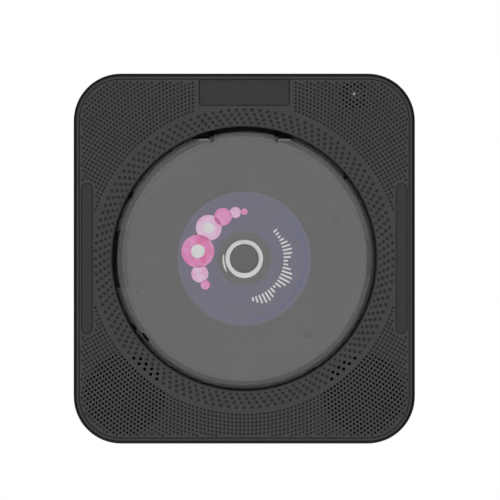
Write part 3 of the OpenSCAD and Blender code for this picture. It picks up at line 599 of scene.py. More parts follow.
# ---------------------------------------------------------------- mesh building
class Geo:
    """Collects points as (x, z, depth from the wall) in millimetres, and faces."""

    def __init__(self):
        self.v, self.f, self.s = [], [], []

    def add(self, x, z, d):
        self.v.append((x * MM, -d * MM, z * MM))
        return len(self.v) - 1

    def loop(self, pts, d):
        return [self.add(p[0], p[1], d(p) if callable(d) else d) for p in pts]

    def face(self, idx, slot=0):
        self.f.append(tuple(idx))
        self.s.append(slot)

    def wall(self, a, b, slot=0):
        """Quads between two closed loops of the same length."""
        n = len(a)
        for i in range(n):
            j = (i + 1) % n
            self.face((a[i], a[j], b[j], b[i]), slot)

    def fan(self, a, c, slot=0):
        n = len(a)
        for i in range(n):
            self.face((a[i], a[(i + 1) % n], c), slot)

    def make(self, name, mats, body, angle=38.0, replaces=(), slot=None):
        me = bpy.data.meshes.new(name)
        me.from_pydata(self.v, [], self.f)
        for m in mats:
            me.materials.append(m.m)
        me.polygons.foreach_set("material_index", self.s)
        bm = bmesh.new()
        bm.from_mesh(me)
        loose = [v for v in bm.verts if not v.link_faces]
        if loose:
            bmesh.ops.delete(bm, geom=loose, context="VERTS")
        bmesh.ops.recalc_face_normals(bm, faces=bm.faces)
        open_edges = sum(1 for e in bm.edges if len(e.link_faces) != 2)
        if open_edges:
            print("OPEN EDGES", name, open_edges)
        bm.to_mesh(me)
        bm.free()
        me.polygons.foreach_set("use_smooth", [True] * len(me.polygons))
        me.set_sharp_from_angle(angle=math.radians(angle))
        ob = bpy.data.objects.new(name, me)
        scene.collection.objects.link(ob)
        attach(ob, body)
        if replaces:
            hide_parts(*replaces)
        return ob


def arc(cx, cz, r, a0, a1, n):
    return [(cx + r * math.cos(math.radians(a0 + (a1 - a0) * i / n)), cz + r * math.sin(math.radians(a0 + (a1 - a0) * i / n)))
            for i in range(n + 1)]


def circle(cx, cz, r, n, phase=0.0):
    return [(cx + r * math.cos(phase + 2 * math.pi * i / n), cz + r * math.sin(phase + 2 * math.pi * i / n)) for i in range(n)]


def stadium_z(cx, length, width, n=16):
    """Upright stadium, counter-clockwise."""
    r, h = width / 2, (length - width) / 2
    return arc(cx, h, r, 0, 180, n) + arc(cx, -h, r, 180, 360, n)


def stadium_x(cx, cz, length, width, n=16):
    r, h = width / 2, (length - width) / 2
    return arc(cx + h, cz, r, -90, 90, n) + arc(cx - h, cz, r, 90, 270, n)


def rrect(cx, cz, w, h, r, n=8):
    out = []
    for k, (sx, sz) in enumerate(((1, -1), (1, 1), (-1, 1), (-1, -1))):
        out += arc(cx + sx * (w / 2 - r), cz + sz * (h / 2 - r), r, -90 + 90 * k, 90 * k, n)
    return out


def quarter(c, steps=3):
    """(inward offset, drop) along a rounded edge of radius c, from the side to the top."""
    return [(c * (1 - math.cos(math.pi / 2 * i / steps)), c * (1 - math.sin(math.pi / 2 * i / steps))) for i in range(steps + 1)]


PD, PB = 37.6, 35.6        # face and back of the grille panel
OPEN_R, LIP = 64.1, 1.35


# ---------------------------------------------------------------- grille panel
def hole_plan():
    """Centres, radii and kinds of the panel's small holes. Kind 1 goes through, 0 is a dimple."""
    out = []
    squash = 0.99557
    hw, hh, cr = 83.0, 90.0, 23.15

    def inside(x, z):
        qx, qz = abs(x) - (hw - cr), abs(z) - (hh - cr)
        return cr - math.hypot(max(qx, 0), max(qz, 0)) - min(max(qx, qz), 0)

    def through(x, z, row=0, ang=0.0):
        for s in (-1, 1):
            if math.hypot(x - s * 57.9, z + 65.8) < 19.75 and row == 0:
                return 1
        if row in (1, 2):
            b = ang if ang > 180 and ang < 270 else 540 - ang
            if row == 1 and 221 < b < 235:
                return 1
            if row == 2 and 223 < b < 234:
                return 1
        if math.hypot(x - 53.4, z - 79.7) < 6.95 and z < 85.0 and not (50.75 < x < 57.4 and 77.6 < z < 82.8):
            return 1
        return 0

    for n in range(41, 59):
        rad = n * 1.8608
        for k in range(6 * n):
            a = math.radians(90 + k * 60.0 / n)
            x, z = rad * math.cos(a), rad * math.sin(a) * squash
            if inside(x, z) < 3.97:
                continue
            if abs(x) < 24.4 and z > 0:
                continue
            if abs(x) > 72.6 and abs(z) < 37.3:
                continue
            end = max(abs(z) - 34.0, 0)
            if math.hypot(abs(x) - 76.5, end) < 2.75 + 0.2 + 0.64 + 0.1:
                continue
            if math.hypot(x - 53.4, z - 80.1) < 1.2:
                continue
            kind = through(x, z)
            out.append((x, z, 0.61 if kind else 0.63, kind, 0))
    for row, (rad, phase, size) in enumerate(((72.3, 0.0, 0.85), (70.05, 2.0, 0.85), (68.0, 1.0, 0.82), (66.12, 0.0, 0.65)), 1):
        for k in range(120):
            deg = (phase + 3 * k) % 360
            a = math.radians(deg)
            x, z = rad * math.cos(a), rad * math.sin(a)
            out.append((x, z, size, through(x, z, row, deg), row))
    return out


def outline(c):
    """Outer edge of the panel with the window's notch at the top, offset inwards by c."""
    a, b, r = 80.25 - c, 87.25 - c, 20.25 - c
    nx, nz, nr = 21.95 + c, 74.4 - c, 1.0 + c
    pts = arc(a - r, b - r, r, 0, 90, 20)
    pts += [(nx, b)] + arc(nx - nr, nz + nr, nr, 0, -90, 5) + arc(-nx + nr, nz + nr, nr, -90, -180, 5) + [(-nx, b)]
    pts += arc(-a + r, b - r, r, 90, 180, 20) + arc(-a + r, -b + r, r, 180, 270, 20) + arc(a - r, -b + r, r, 270, 360, 20)
    return pts


def lip_depth(r):
    return PD if r >= OPEN_R + LIP else PD - LIP + math.sqrt(max(LIP ** 2 - (OPEN_R + LIP - r) ** 2, 0.0))


def plane_mesh(geo, depth_of, loops, extra, flip=False):
    """Fills the first loop less the others with triangles. loops are lists of geo indices already placed; returns nothing."""
    pts, faces = [], []
    index = []
    for lp in loops:
        start = len(pts)
        for i in lp:
            v = geo.v[i]
            pts.append((v[0] / MM, v[2] / MM))
            index.append(i)
        faces.append(list(range(start, len(pts))))
    for p in extra:
        pts.append(p)
        index.append(None)
    vv, ee, ff, ov, oe, of_ = delaunay_2d_cdt([Vector(p) for p in pts], [], faces, 0, 1e-5)
    where = []
    for k, src in enumerate(ov):
        hit = next((index[s] for s in src if index[s] is not None), None)
        if hit is None:
            x, z = vv[k]
            hit = geo.add(x, z, depth_of((x, z)))
        where.append(hit)
    kept = 0
    for tri, src in zip(ff, of_):
        if list(src) != [0]:
            continue
        t = [where[i] for i in tri]
        if len(set(t)) < 3:
            continue
        geo.face(t[::-1] if flip else t)
        kept += 1
    return kept


def grille_panel():
    g = Geo()
    plan = hole_plan()
    steps = quarter(0.3)
    # outer edge, rounded
    rims = [g.loop(outline(t), PD - drop) for t, drop in steps]
    for a, b in zip(rims, rims[1:]):
        g.wall(a, b)
    # round opening: lip in rings from the edge up to where the hole rows begin
    turn = [90, 80, 70, 60, 50, 40]
    ring = []
    for a in turn:
        r = OPEN_R + LIP - LIP * math.sin(math.radians(a))
        ring.append(g.loop(circle(0, 0, r, 360), PD - LIP + LIP * math.cos(math.radians(a))))
    for a, b in zip(ring, ring[1:]):
        g.wall(a, b)
    # pockets of the side inlays
    pocket = []
    for s in (-1, 1):
        levels = [g.loop(stadium_z(s * 76.5, 73.5 + 2 * t, 5.5 + 2 * t), PD - drop) for t, drop in quarter(0.2)]
        for a, b in zip(levels, levels[1:]):
            g.wall(a, b)
        low = g.loop(stadium_z(s * 76.5, 73.5, 5.5), PD - 1.0)
        g.wall(low, levels[0])
        g.face(low)
        pocket.append(levels[-1])
    # small holes
    sides = 12
    mouths, thru = [], []
    for x, z, r, kind, row in plan:
        top = g.loop(circle(x, z, r, sides, math.radians(15)), lambda p: lip_depth(math.hypot(*p)))
        mouths.append(top)
        if kind:
            thru.append((x, z, r, top))
        else:
            f = 0.94
            low = g.loop(circle(x, z, r * f, sides, math.radians(15)), PD - 1.02)
            g.wall(top, low, 1)
            g.fan(low, g.add(x, z, PD - 1.10), 1)
    led = g.loop(circle(53.4, 80.1, 0.65, 20), PD)
    # points that carry the lip's curve between the holes
    extra = []
    for r, step in ((64.78, 1.0), (64.98, 1.0), (65.18, 1.0), (65.34, 1.0), (65.44, 1.0)):
        for k in range(360):
            off = abs(((k + 1.5) % 3) - 1.5) * math.radians(r)
            if math.hypot(off, r - 66.12) > 0.65 + 0.09:
                extra.append((r * math.cos(math.radians(k)), r * math.sin(math.radians(k))))
    plane_mesh(g, lambda p: lip_depth(math.hypot(*p)), [rims[-1], ring[-1]] + pocket + [led] + mouths, extra)
    # back of the panel with its bosses
    back_rim = g.loop(outline(0.0), PB)
    g.wall(back_rim, rims[0])
    back_open = g.loop(circle(0, 0, OPEN_R, 360), PB)
    g.wall(back_open, ring[0])
    back_thru = []
    for x, z, r, top in thru:
        low = g.loop(circle(x, z, r, sides, math.radians(15)), PB)
        g.wall(top, low, 1)
        back_thru.append(low)
    back_led = g.loop(circle(53.4, 80.1, 0.65, 20), PB)
    g.wall(led, back_led)
    bosses = []
    spots = [(70.3 * math.cos(math.radians(a)), 70.3 * math.sin(math.radians(a)), 2.8, 33.6) for a in (45, 135, 200, 340, 270)]
    spots += [(s * (57.9 + t * 17.4), -65.8 + t * 15.4, 2.8, 33.6) for s in (-1, 1) for t in (-1, 1)]
    spots += [(s * 27, 78.8, 2.3, 30.1) for s in (-1, 1)]
    for x, z, r, d in spots:
        foot = g.loop(circle(x, z, r, 32), PB)
        end = g.loop(circle(x, z, r, 32), d + 0.25)
        cut = g.loop(circle(x, z, r - 0.25, 32), d)
        bore = g.loop(circle(x, z, 1.05, 32), d)
        deep = g.loop(circle(x, z, 1.05, 32), 36.42)
        g.wall(foot, end)
        g.wall(end, cut)
        g.wall(cut, bore)
        g.wall(bore, deep)
        g.face(deep)
        bosses.append(foot)
    plane_mesh(g, lambda p: PB, [back_rim, back_open, back_led] + back_thru + bosses, [], flip=True)
    ob = g.make("grille_front", [M["grille"], M["pit"]], "housing", 32.0, ("grille_panel",), "grille_black")
    print("grille faces", len(ob.data.polygons), "holes", len(plan), "through", len(thru))
    return ob


grille_panel()


# ---------------------------------------------------------------- window and inlays
def plate_with_step(name, loop_at, d0, d1, flange, step, mats, body, replaces, slot):
    """A thin lens with a lower border all round. loop_at(inset) gives the outline."""
    g = Geo()
    back = g.loop(loop_at(0.0), d0)
    g.face(back[::-1])
    prev = back
    for t, drop in quarter(0.12, 2):
        lp = g.loop(loop_at(t), d1 - step - drop)
        g.wall(prev, lp, 1)
        prev = lp
    lp = g.loop(loop_at(flange), d1 - step)
    g.wall(prev, lp, 1)
    prev = lp
    for t, drop in quarter(0.10, 2):
        lp = g.loop(loop_at(flange + 0.02 + t), d1 - drop)
        g.wall(prev, lp, 0 if t > 0 else 1)
        prev = lp
    lp = g.loop(loop_at(flange + 0.3), d1)
    g.wall(prev, lp)
    g.face(lp)
    return g.make(name, mats, body, 40.0, replaces, slot)


plate_with_step("window_lens", lambda t: rrect(0, 80.8, 43.6 - 2 * t, 12.7 - 2 * t, max(0.9 - t, 0.12), 6),
                35.8, 37.45, 0.62, 0.22, [M["window"], M["window_edge"]], "housing", ("display_window",), "smoked_window")


def inlays():
    g = Geo()
    for s in (-1, 1):
        at = lambda t: stadium_z(s * 76.5, 73.3 - 2 * t, 5.3 - 2 * t, 20)
        prev = g.loop(at(0.0), 36.62)
        g.face(prev[::-1])
        for t, drop in quarter(0.12, 2):
            lp = g.loop(at(t), 37.45 - 0.2 - drop)
            g.wall(prev, lp, 1)
            prev = lp
        lp = g.loop(at(0.5), 37.25)
        g.wall(prev, lp, 1)
        prev = lp
        for t, drop in quarter(0.10, 2):
            lp = g.loop(at(0.52 + t), 37.45 - drop)
            g.wall(prev, lp, 0 if t > 0 else 1)
            prev = lp
        lp = g.loop(at(0.85), 37.45)
        g.wall(prev, lp)
        g.face(lp)
    return g.make("side_inlay_pair", [M["inlay"], M["window_edge"]], "housing", 40.0, ("side_inlays",), "inlay_grey")


inlays()


# ---------------------------------------------------------------- disc
def disc():
    g = Geo()
    n = 256
    order = ["disc_black", "hub_clear", "label", "pink", "pink_light", "pink_deep", "slate", "white", "disc_rim", "data", "disc_edge"]
    at = {k: i for i, k in enumerate(order)}
    top, back = 33.2, 32.03

    def ring(r, d):
        return g.loop(circle(0, 0, r, n), d)

    hub = [(7.5, back + 0.05), (7.5, top - 0.06), (7.56, top), (10.56, top), (10.66, top - 0.12), (11.04, top - 0.12), (11.14, top), (13.2, top)]
    rings = [ring(*p) for p in hub]
    for a, b in zip(rings, rings[1:]):
        g.wall(a, b, at["hub_clear"])
    inner = rings[-1]
    outer = ring(32.6, top)
    # generic print: a chain of round spots, a fan of ticks and a slate arc
    shapes, kinds = [], []
    for k, (deg, rho) in enumerate(((214, 2.3), (199, 4.2), (171, 8.0), (139, 6.3), (117, 4.3), (101, 2.7), (90, 1.6))):
        c = (22.9 * math.cos(math.radians(deg)), 22.9 * math.sin(math.radians(deg)))
        shapes.append(circle(c[0], c[1], rho, 48 if rho > 3 else 28, 0.05))
        kinds.append(("pink", "pink_light")[k % 2])
        if rho > 5:
            shapes.append(circle(c[0], c[1], rho * 0.42, 32, 0.03))
            kinds.append("hole")
    for k in range(25):
        deg = -78 + 5 * k
        length = 1.4 + 4.6 * abs(math.sin(math.radians(17 + 23.5 * k))) * (0.55 + 0.45 * math.sin(math.radians(9 * k)))
        a, r0, w = math.radians(deg), 19.2, 0.42
        ux, uz = math.cos(a), math.sin(a)
        shapes.append([(ux * r - uz * t, uz * r + ux * t) for r, t in ((r0, -w), (r0 + length, -w), (r0 + length, w), (r0, w))])
        kinds.append("white")
    a0, a1 = -81.0, 46.0
    shapes.append(arc(0, 0, 30.6, a0, a1, 48) + arc(0, 0, 28.6, a1, a0, 48))
    kinds.append("slate")
    pts, faces = [], []
    known = []
    for lp in (outer, inner):
        start = len(pts)
        for i in lp:
            pts.append((g.v[i][0] / MM, g.v[i][2] / MM))
            known.append(i)
        faces.append(list(range(start, len(pts))))
    for sh in shapes:
        start = len(pts)
        pts += sh
        known += [None] * len(sh)
        faces.append(list(range(start, len(pts))))
    vv, _, ff, ov, _, src = delaunay_2d_cdt([Vector(p) for p in pts], [], faces, 0, 1e-5)
    where = []
    for k, s in enumerate(ov):
        hit = next((known[i] for i in s if known[i] is not None), None)
        where.append(g.add(vv[k][0], vv[k][1], top) if hit is None else hit)
    for tri, s in zip(ff, src):
        s = set(s)
        if 0 not in s or 1 in s:
            continue
        ks = [kinds[i - 2] for i in s if i > 1]
        kind = "label"
        if "white" in ks:
            kind = "white"
        elif "slate" in ks:
            kind = "slate"
        elif "hole" in ks:
            kind = "white" if len(ks) == 2 else "pink_deep"
        elif len(ks) > 1:
            kind = "pink_deep"
        elif ks:
            kind = ks[0]
        g.face([where[i] for i in tri], at[kind])
    rest = [(32.6, top, "disc_black"), (33.0, top, "disc_black"), (45.0, top, "disc_black"), (57.55, top, "disc_black"), (57.72, top, "disc_black"),
            (57.78, top - 0.03, "disc_black"), (57.9, top - 0.03, "disc_rim"), (57.96, top, "disc_rim"), (58.1, top, "disc_rim"), (59.0, top, "disc_rim"), (59.1, top, "disc_edge"), (59.6, top, "disc_edge"), (59.78, top, "disc_edge"),
            (59.93, top - 0.07, "disc_edge"), (60.0, top - 0.22, "disc_edge"), (60.0, back + 0.22, "hub_clear"), (59.93, back + 0.07, "hub_clear"),
            (59.78, back, "hub_clear"), (59.6, back, "hub_clear"), (58.2, back, "hub_clear"), (22.0, back, "data"), (17.4, back, "hub_clear"), (7.56, back, "hub_clear")]
    prev = outer
    for r, d, kind in rest[1:]:
        lp = ring(r, d)
        g.wall(prev, lp, at[kind])
        prev = lp
    g.wall(prev, rings[0], at["hub_clear"])
    return g.make("printed_disc", [M[k] for k in order], "rotor", 20.0, ("disc",), "disc_black")


disc()


# ---------------------------------------------------------------- clear cover
def prism(g, pts, d0, d1):
    """Straight prism over a counter-clockwise outline in (x, z)."""
    low, high = g.loop(pts, d0), g.loop(pts, d1)
    g.face(low[::-1])
    g.wall(low, high)
    g.face(high)


def tube_x(g, x0, x1, z, d, r, n=40):
    """Cylinder lying along x."""
    ends = []
    for x in (x0, x1):
        ends.append([g.add(x, z + r * math.cos(2 * math.pi * i / n), d + r * math.sin(2 * math.pi * i / n)) for i in range(n)])
    g.face(ends[0][::-1])
    g.wall(ends[0], ends[1])
    g.face(ends[1])


def plain(g, name):
    me = bpy.data.meshes.new(name)
    me.from_pydata(g.v, [], g.f)
    bm = bmesh.new()
    bm.from_mesh(me)
    bmesh.ops.recalc_face_normals(bm, faces=bm.faces)
    bm.to_mesh(me)
    bm.free()
    ob = bpy.data.objects.new(name, me)
    scene.collection.objects.link(ob)
    return ob


def combine(base, steps):
    """Applies a chain of exact booleans and returns the finished mesh; the helpers are removed."""
    for tool, op in steps:
        mod = base.modifiers.new(tool.name, "BOOLEAN")
        mod.operation, mod.solver, mod.object = op, "EXACT", tool
    bpy.context.view_layer.update()
    me = bpy.data.meshes.new_from_object(base.evaluated_get(bpy.context.evaluated_depsgraph_get()))
    for ob in [base] + [t for t, _ in steps]:
        old = ob.data
        bpy.data.objects.remove(ob)
        bpy.data.meshes.remove(old)
    return me


def finish_mesh(me, name, mats, body, angle, replaces):
    me.name = name
    me.materials.clear()
    for m in mats:
        me.materials.append(m.m)
    bm = bmesh.new()
    bm.from_mesh(me)
    bmesh.ops.remove_doubles(bm, verts=bm.verts, dist=1e-7)
    open_edges = sum(1 for e in bm.edges if len(e.link_faces) != 2)
    if open_edges:
        print("OPEN EDGES", name, open_edges)
    bm.to_mesh(me)
    bm.free()
    me.polygons.foreach_set("use_smooth", [True] * len(me.polygons))
    me.set_sharp_from_angle(angle=math.radians(angle))
    ob = bpy.data.objects.new(name, me)
    scene.collection.objects.link(ob)
    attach(ob, body)
    if replaces:
        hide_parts(*replaces)
    return ob


def clear_cover():
    prof = [(61.3, 37.2)]
    prof += [(61.5 + 2 * math.sin(math.radians(a)), 35.2 + 2 * math.cos(math.radians(a))) for a in (0, 2, 5, 9, 14, 20, 26, 32, 38, 44, 50, 56, 62, 68, 74, 80, 85, 90)]
    prof += [(63.5, 33.55), (63.46, 33.44), (63.35, 33.4), (62.45, 33.4), (62.34, 33.44), (62.3, 33.55), (62.3, 34.7)]
    prof += [(61.4 + 0.9 * math.cos(math.radians(a)), 34.7 + 0.9 * math.sin(math.radians(a))) for a in (10, 20, 30, 40, 50, 60, 70, 80, 86, 90)]
    prof += [(61.2, 35.6)]
    n = 384
    g = Geo()
    rings = [g.loop(circle(0, 0, r, n), d) for r, d in prof]
    for a, b in zip(rings, rings[1:]):
        g.wall(a, b)
    for outer, d, turned in ((rings[0], 37.2, False), (rings[-1], 35.6, True)):
        prev = outer
        for r in (57.0, 50.0, 42.0, 34.0, 26.0, 18.0, 11.0, 5.0):
            lp = g.loop(circle(0, 0, r, n), d)
            g.wall(prev, lp)
            prev = lp
        g.fan(prev, g.add(0, 0, d))
    base = plain(g, "cover_base")
    first, second, ear, brow, barrel, pin = Geo(), Geo(), Geo(), Geo(), Geo(), Geo()

    def sector(r, half, out, side):
        """Region beyond radius r within +-half of the axis that points to side, out to `out`."""
        a = math.degrees(math.asin(half / r))
        pts = arc(0, 0, r, 90 + a, 90 - a, 40)
        pts = [(half, out), (-half, out)] + pts
        if side == "left":
            pts = [(-z, x) for x, z in pts]
        return pts

    prev = first.loop(sector(61.8, 15.0, 66.5, "top"), 32)
    first.face(prev[::-1])
    for r, d in ((61.8, 35.9), (61.66, 36.25), (60.9, 37.0), (60.6, 37.2), (60.6, 40)):
        cur = first.loop(sector(r, 15.0, 66.5, "top"), d)
        first.wall(prev, cur)
        prev = cur
    first.face(prev)
    prism(first, sector(57.0, 13.8, 64.4, "left"), 36.9, 40)
    for deg, w in ((151.25, 3), (212, 3), (38.75, 1.2)):
        t = math.radians(deg)
        h = w / 2 + 0.5
        prism(first, [(r * math.cos(t) - q * math.sin(t), r * math.sin(t) + q * math.cos(t)) for r, q in ((62.5, -h), (66, -h), (66, h), (62.5, h))], 32, 40)
    t = math.radians(218.5)
    prism(first, [(r * math.cos(t) - q * math.sin(t), r * math.sin(t) + q * math.cos(t)) for r, q in ((60.5, -2.8), (62.4, -2.8), (62.4, 2.8), (60.5, 2.8))], 32, 35.6)
    for s in (-1, 1):
        x0, x1 = s * 19 - 4.1, s * 19 + 4.1
        if s > 0:
            prism(second, [(x0, 57.6), (x1, 57.6), (x1, 58.3), (x1 + 4, 58.3), (x1 + 4, 66.2), (x0, 66.2)], 31.9, 40.1)
        else:
            prism(second, [(x0, 57.6), (x1, 57.6), (x1, 66.2), (x0 - 4, 66.2), (x0 - 4, 58.3), (x0, 58.3)], 31.9, 40.1)
        e0, e1 = s * 15.75 - 0.85, s * 15.75 + 0.85
        prism(ear, [(e0, 56.5), (e1, 56.5), (e1, 60.4), (e0, 60.4)], 34.9, 36.9)
        prism(brow, [(e0 + 0.02, 56.6), (e1 - 0.02, 56.6), (e1 - 0.02, 59.2), (e0 + 0.02, 59.2)], 36.0, 37.12)
        tube_x(barrel, e0, e1, 60.4, 35.6, 1.5)
        tube_x(pin, *((15.5, 19.0) if s > 0 else (-19.0, -15.5)), 60.4, 35.6, 0.8, 28)
    prism(second, sector(62.15, 13.8, 66.4, "left"), 30, 40.2)
    # pale lens-shaped beads low in the hinge pockets: a painted highlight along each pocket's lower edge
    bead = Geo()
    for s in (-1, 1):
        m = 24
        rows = []
        for k in range(7):
            q = math.radians(-90 + 30 * k)
            rows.append([bead.add(s * 19.3 + 3.35 * math.cos(2 * math.pi * i / m) * math.cos(q) if abs(q) < 1.5 else s * 19.3 + 0.02 * math.cos(2 * math.pi * i / m),
                                  57.80 + (0.60 * math.sin(2 * math.pi * i / m) * math.cos(q) if abs(q) < 1.5 else 0.004 * math.sin(2 * math.pi * i / m)),
                                  36.45 + 0.6 * math.sin(q)) for i in range(m)])
        bead.face(rows[0][::-1])
        for a, b in zip(rows, rows[1:]):
            bead.wall(a, b)
        bead.face(rows[-1])
    bead.make("pocket_beads", [M["bead"]], "cover", 40.0, (), "clear_cover")
    steps = [(plain(first, "cut_1"), "DIFFERENCE"), (plain(second, "cut_2"), "DIFFERENCE"),
             (plain(ear, "ears"), "UNION"), (plain(brow, "brows"), "UNION"), (plain(barrel, "barrels"), "UNION"), (plain(pin, "pins"), "UNION")]
    me = combine(base, steps)
    ob = finish_mesh(me, "clear_lid", [M["cover"], M["grip"], M["key"], M["skirt"], M["magnet_and_shade_black"]], "cover", 30.0, ("dust_cover",))
    for poly in me.polygons:
        co = [me.vertices[i].co for i in poly.vertices]
        c = poly.center / MM
        if all(abs(v.y + 36.9 * MM) < 2e-6 for v in co) and c.x < -50:
            poly.material_index = 1
        # hinge ears: lower front faces take the black key plastic, the rest is near-black as painted shade in the
        # pocket
        elif 14.85 < abs(c.x) < 20.2 and c.z > 57.65:
            poly.material_index = 2 if c.z < 59.19 and c.y < -36.92 else 4
        elif c.y > -35.3:
            poly.material_index = 3
        else:
            poly.material_index = 0
    print("cover faces", len(me.polygons))
    return ob


clear_cover()


def notch_shade_blocks():
    """Small near-black blocks that fill the cover's edge notches down to the latch lugs: painted shade for the dark
    slots there.
    """
    g = Geo()
    for deg, w in ((151.25, 2.3), (212, 2.3), (38.75, 0.9)):
        t = math.radians(deg)
        at = lambda c: [(r * math.cos(t) - q * math.sin(t), r * math.sin(t) + q * math.cos(t)) for r, q in rrect(62.72, 0, 1.4 - 2 * c, w - 2 * c, 0.3, 4)]
        low = g.loop(at(0.0), 34.2)
        g.face(low[::-1])
        prev = low
        for c, drop in quarter(0.15, 3):
            cur = g.loop(at(c), 36.9 - drop)
            g.wall(prev, cur)
            prev = cur
        g.face(prev)
    return g.make("notch_shade_blocks", [M["magnet_and_shade_black"]], "cover", 35.0, (), "clear_cover")


notch_shade_blocks()


def cover_magnet():
    g = Geo()
    t = math.radians(218.5)
    at = lambda c, lift=0.0: [(r * math.cos(t) - q * math.sin(t), r * math.sin(t) + q * math.cos(t)) for r, q in rrect(61.45, 0, 1.25 - 2 * c, 5.0 - 2 * c, 0.3, 4)]
    low = g.loop(at(0.0), 33.7)
    g.face(low[::-1])
    prev = low
    for c, drop in quarter(0.15, 3):
        cur = g.loop(at(c), 37.34 - drop)
        g.wall(prev, cur)
        prev = cur
    g.face(prev)
    return g.make("magnet_and_shade_black", [M["magnet_and_shade_black"]], "cover", 35.0, ("cover_magnet",), "magnet")


cover_magnet()


# ---------------------------------------------------------------- hub under the disc
def hub():
    g = Geo()
    n = 128
    prof = [(2.0, 34.6), (6.1, 34.6), (6.3, 34.56), (6.45, 34.46), (6.9, 34.0), (7.02, 33.8), (7.05, 33.6), (7.05, 32.0), (9.0, 32.0), (9.0, 31.6), (14.35, 31.6),
            (14.5, 31.45), (14.5, 30.75), (14.35, 30.6), (9.0, 30.6), (9.0, 28.75), (8.85, 28.6), (1.1, 28.6), (1.1, 33.05), (0.4, 33.05)]
    rings = [g.loop(circle(0, 0, r, n), d) for r, d in prof]
    g.fan(rings[0], g.add(0, 0, 34.6))
    for a, b in zip(rings, rings[1:]):
        g.wall(a, b)
    g.fan(rings[-1], g.add(0, 0, 33.05))
    g.make("hub_nose", [M["turntable"]], "rotor", 20.0, ("turntable",), "well_black")
    w = Geo()
    inner = lambda d: w.loop(circle(0, 0, 7.0, n), d)
    outer = lambda d, c=0.0: w.loop(circle(0.1, -0.82, 8.68 - c, n), d)
    loops = [inner(31.7), inner(32.02), outer(32.02, 0.06), outer(31.98), outer(31.7)]
    for a, b in zip(loops, loops[1:]):
        w.wall(a, b)
    w.wall(loops[-1], loops[0])
    w.make("seat_ring", [M["seat"]], "rotor", 25.0, (), "bright_steel")
    # three small retaining balls, sunk in the nose
    b = Geo()
    for deg in (90, 210, 330):
        cx, cz = 6.62 * math.cos(math.radians(deg)), 6.62 * math.sin(math.radians(deg))
        loops = [b.loop(circle(cx, cz, 0.56 * math.sin(math.radians(a)), 20), 33.9 - 0.56 * math.cos(math.radians(a))) for a in range(20, 161, 20)]
        b.fan(loops[0], b.add(cx, cz, 33.34))
        for p, q in zip(loops, loops[1:]):
            b.wall(p, q)
        b.fan(loops[-1], b.add(cx, cz, 34.46))
    b.make("retaining_balls", [M["ball"]], "rotor", 40.0, ("clamp_balls",), "bright_steel")
    # pale arc on the disc's stacking ring: a painted highlight
    a = Geo()
    m = 36
    out_pts, in_pts = [], []
    for k in range(m + 1):
        deg = math.radians(174.0 + 32.0 * k / m)
        half = 0.46 * math.sin(math.pi * min(max(0.04 + 0.92 * k / m, 0.0), 1.0)) ** 0.45
        out_pts.append((5.4 + (15.6 + half) * math.cos(deg), 0.3 + (15.6 + half) * math.sin(deg)))
        in_pts.append((5.4 + (15.6 - half) * math.cos(deg), 0.3 + (15.6 - half) * math.sin(deg)))
    pts = out_pts + in_pts[::-1]
    prism(a, pts, 33.12, 33.225)
    a.make("stacking_ring_glint", [M["frost"]], "rotor", 30.0, (), "disc_black")


hub()

# ---------------------------------------------------------------- keys
KEYS = [("source_key", "source_button"), ("previous_key", "previous_button"), ("play_key", "play_button"),
        ("next_key", "next_button"), ("volume_down_key", "volume_down_button"), ("volume_up_key", "volume_up_button")]


class Up:
    """Same idea as Geo, for shapes drawn in (x, y) and raised along z; y grows towards the wall."""

    def __init__(self):
        self.g = Geo()

    def loop(self, pts, z):
        out = []
        for p in pts:
            self.g.v.append((p[0] * MM, p[1] * MM, z * MM))
            out.append(len(self.g.v) - 1)
        return out


def key_cap(i, node, body):
    x0, y0 = (i - 2.5) * 15, -21.0
    u = Up()
    g = u.g
    base = lambda t: stadium_x(x0, y0, 11 - 2 * t, 5 - 2 * t, 16)
    lip = lambda t: stadium_x(x0, y0, 13.4 - 2 * t, 7 - 2 * t, 16)
    stem = lambda r: [(x0 + r * math.cos(a), y0 + r * math.sin(a)) for a in
                      (math.atan2(p[1] - y0, p[0] - x0) for p in base(0))]
    low = u.loop(stem(1.5), 84.1)
    g.face(low[::-1])
    prev = low
    for lp in ((stem(1.5), 86.4), (lip(0.15), 86.4), (lip(0.0), 86.55), (lip(0.0), 87.05), (lip(0.15), 87.2), (base(0.0), 87.2)):
        cur = u.loop(*lp)
        g.wall(prev, cur)
        prev = cur
    for t, drop in quarter(0.55, 5):
        cur = u.loop(base(t), 89.75 - drop)
        g.wall(prev, cur)
        prev = cur
    # a shallow finger dish on top
    for t, z in ((0.9, 89.72), (1.3, 89.66), (1.8, 89.62)):
        cur = u.loop(base(t), z)
        g.wall(prev, cur)
        prev = cur
    g.face(prev)
    ob = g.make("cap_" + node, [M["key"]], body, 35.0, (node,), "key_black")
    return ob


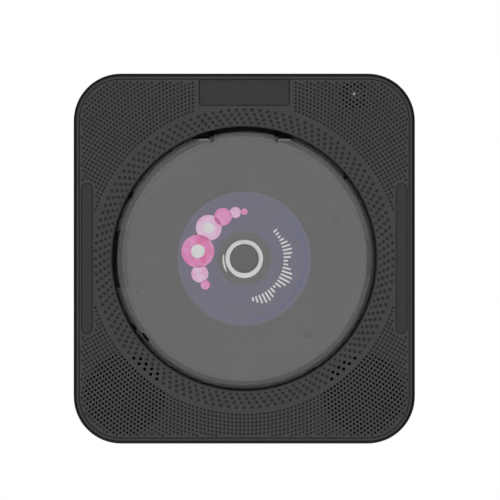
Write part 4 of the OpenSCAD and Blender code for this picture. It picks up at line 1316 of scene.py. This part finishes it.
def legend(i, node, body):
    """Raised plain symbol on a key: source, back, play, forward, minus, plus."""
    x0, y0 = (i - 2.5) * 15, -21.0
    u = Up()
    g = u.g

    def block(pts):
        low = u.loop(pts, 89.58)
        high = u.loop(pts, 89.70)
        g.face(low[::-1])
        g.wall(low, high)
        g.face(high)

    def tri(cx, s, h=0.85):
        # point to +x for s = 1, drawn as seen from above with the front at the bottom
        pts = [(cx - s * 0.62, y0 - h), (cx + s * 0.78, y0), (cx - s * 0.62, y0 + h)]
        return pts if s > 0 else pts[::-1]

    def bar(cx, w, h):
        return [(cx - w / 2, y0 - h / 2), (cx + w / 2, y0 - h / 2), (cx + w / 2, y0 + h / 2), (cx - w / 2, y0 + h / 2)]

    if i == 0:
        for k in range(3):
            block([(x0 - 0.95, y0 - 0.72 + 0.6 * k), (x0 + 0.95, y0 - 0.72 + 0.6 * k), (x0 + 0.95, y0 - 0.48 + 0.6 * k), (x0 - 0.95, y0 - 0.48 + 0.6 * k)])
    elif i == 1:
        block(bar(x0 - 1.35, 0.26, 1.6))
        block(tri(x0 - 0.25, -1))
        block(tri(x0 + 1.2, -1))
    elif i == 2:
        block(tri(x0 - 0.75, 1, 1.0))
        block(bar(x0 + 0.65, 0.3, 1.9))
        block(bar(x0 + 1.3, 0.3, 1.9))
    elif i == 3:
        block(tri(x0 - 1.2, 1))
        block(tri(x0 + 0.25, 1))
        block(bar(x0 + 1.35, 0.26, 1.6))
    elif i == 4:
        block(bar(x0, 2.0, 0.32))
    else:
        a, b = 1.0, 0.16
        block([(x0 + p, y0 + q) for p, q in ((-a, -b), (-b, -b), (-b, -a), (b, -a), (b, -b), (a, -b), (a, b), (b, b), (b, a), (-b, a), (-b, b), (-a, b))])
    return g.make("legend_" + node, [M["key_ink"]], body, 30.0, (), "key_black")


for i, (node, body) in enumerate(KEYS):
    key_cap(i, node, body)
    legend(i, node, body)

# ---------------------------------------------------------------- floor, out of the front view
floor_me = bpy.data.meshes.new("studio_floor")
bm = bmesh.new()
bmesh.ops.create_circle(bm, cap_ends=True, cap_tris=False, segments=96, radius=0.42)
bm.to_mesh(floor_me)
bm.free()
floor = bpy.data.objects.new("studio_floor", floor_me)
floor.location = (0, 0, -0.30)
scene.collection.objects.link(floor)
fm = Mat("pale_floor")
fx, fy, _ = fm.xyz()
fr = fm.math("SQRT", fm.math("ADD", fm.math("MULTIPLY", fx, fx), fm.math("MULTIPLY", fy, fy)))
under = fm.t.nodes.new("ShaderNodeNewGeometry").outputs["Backfacing"]
fade = fm.math("MULTIPLY", fm.span(fr, 0.22, 0.42, 1.0, 0.0, True), fm.math("SUBTRACT", 1.0, under))
pale = fm.mix(fm.span(fm.noise(60.0, 3.0), 0.3, 0.7, 0.0, 1.0), (0.80, 0.80, 0.80), (0.84, 0.84, 0.84))
fm.set(Base_Color=pale, Roughness=0.8, Alpha=fade)
fm.put(fm.p.inputs["Emission Color"], pale)
fm.p.inputs["Emission Strength"].default_value = 0.55
floor_me.materials.append(fm.m)
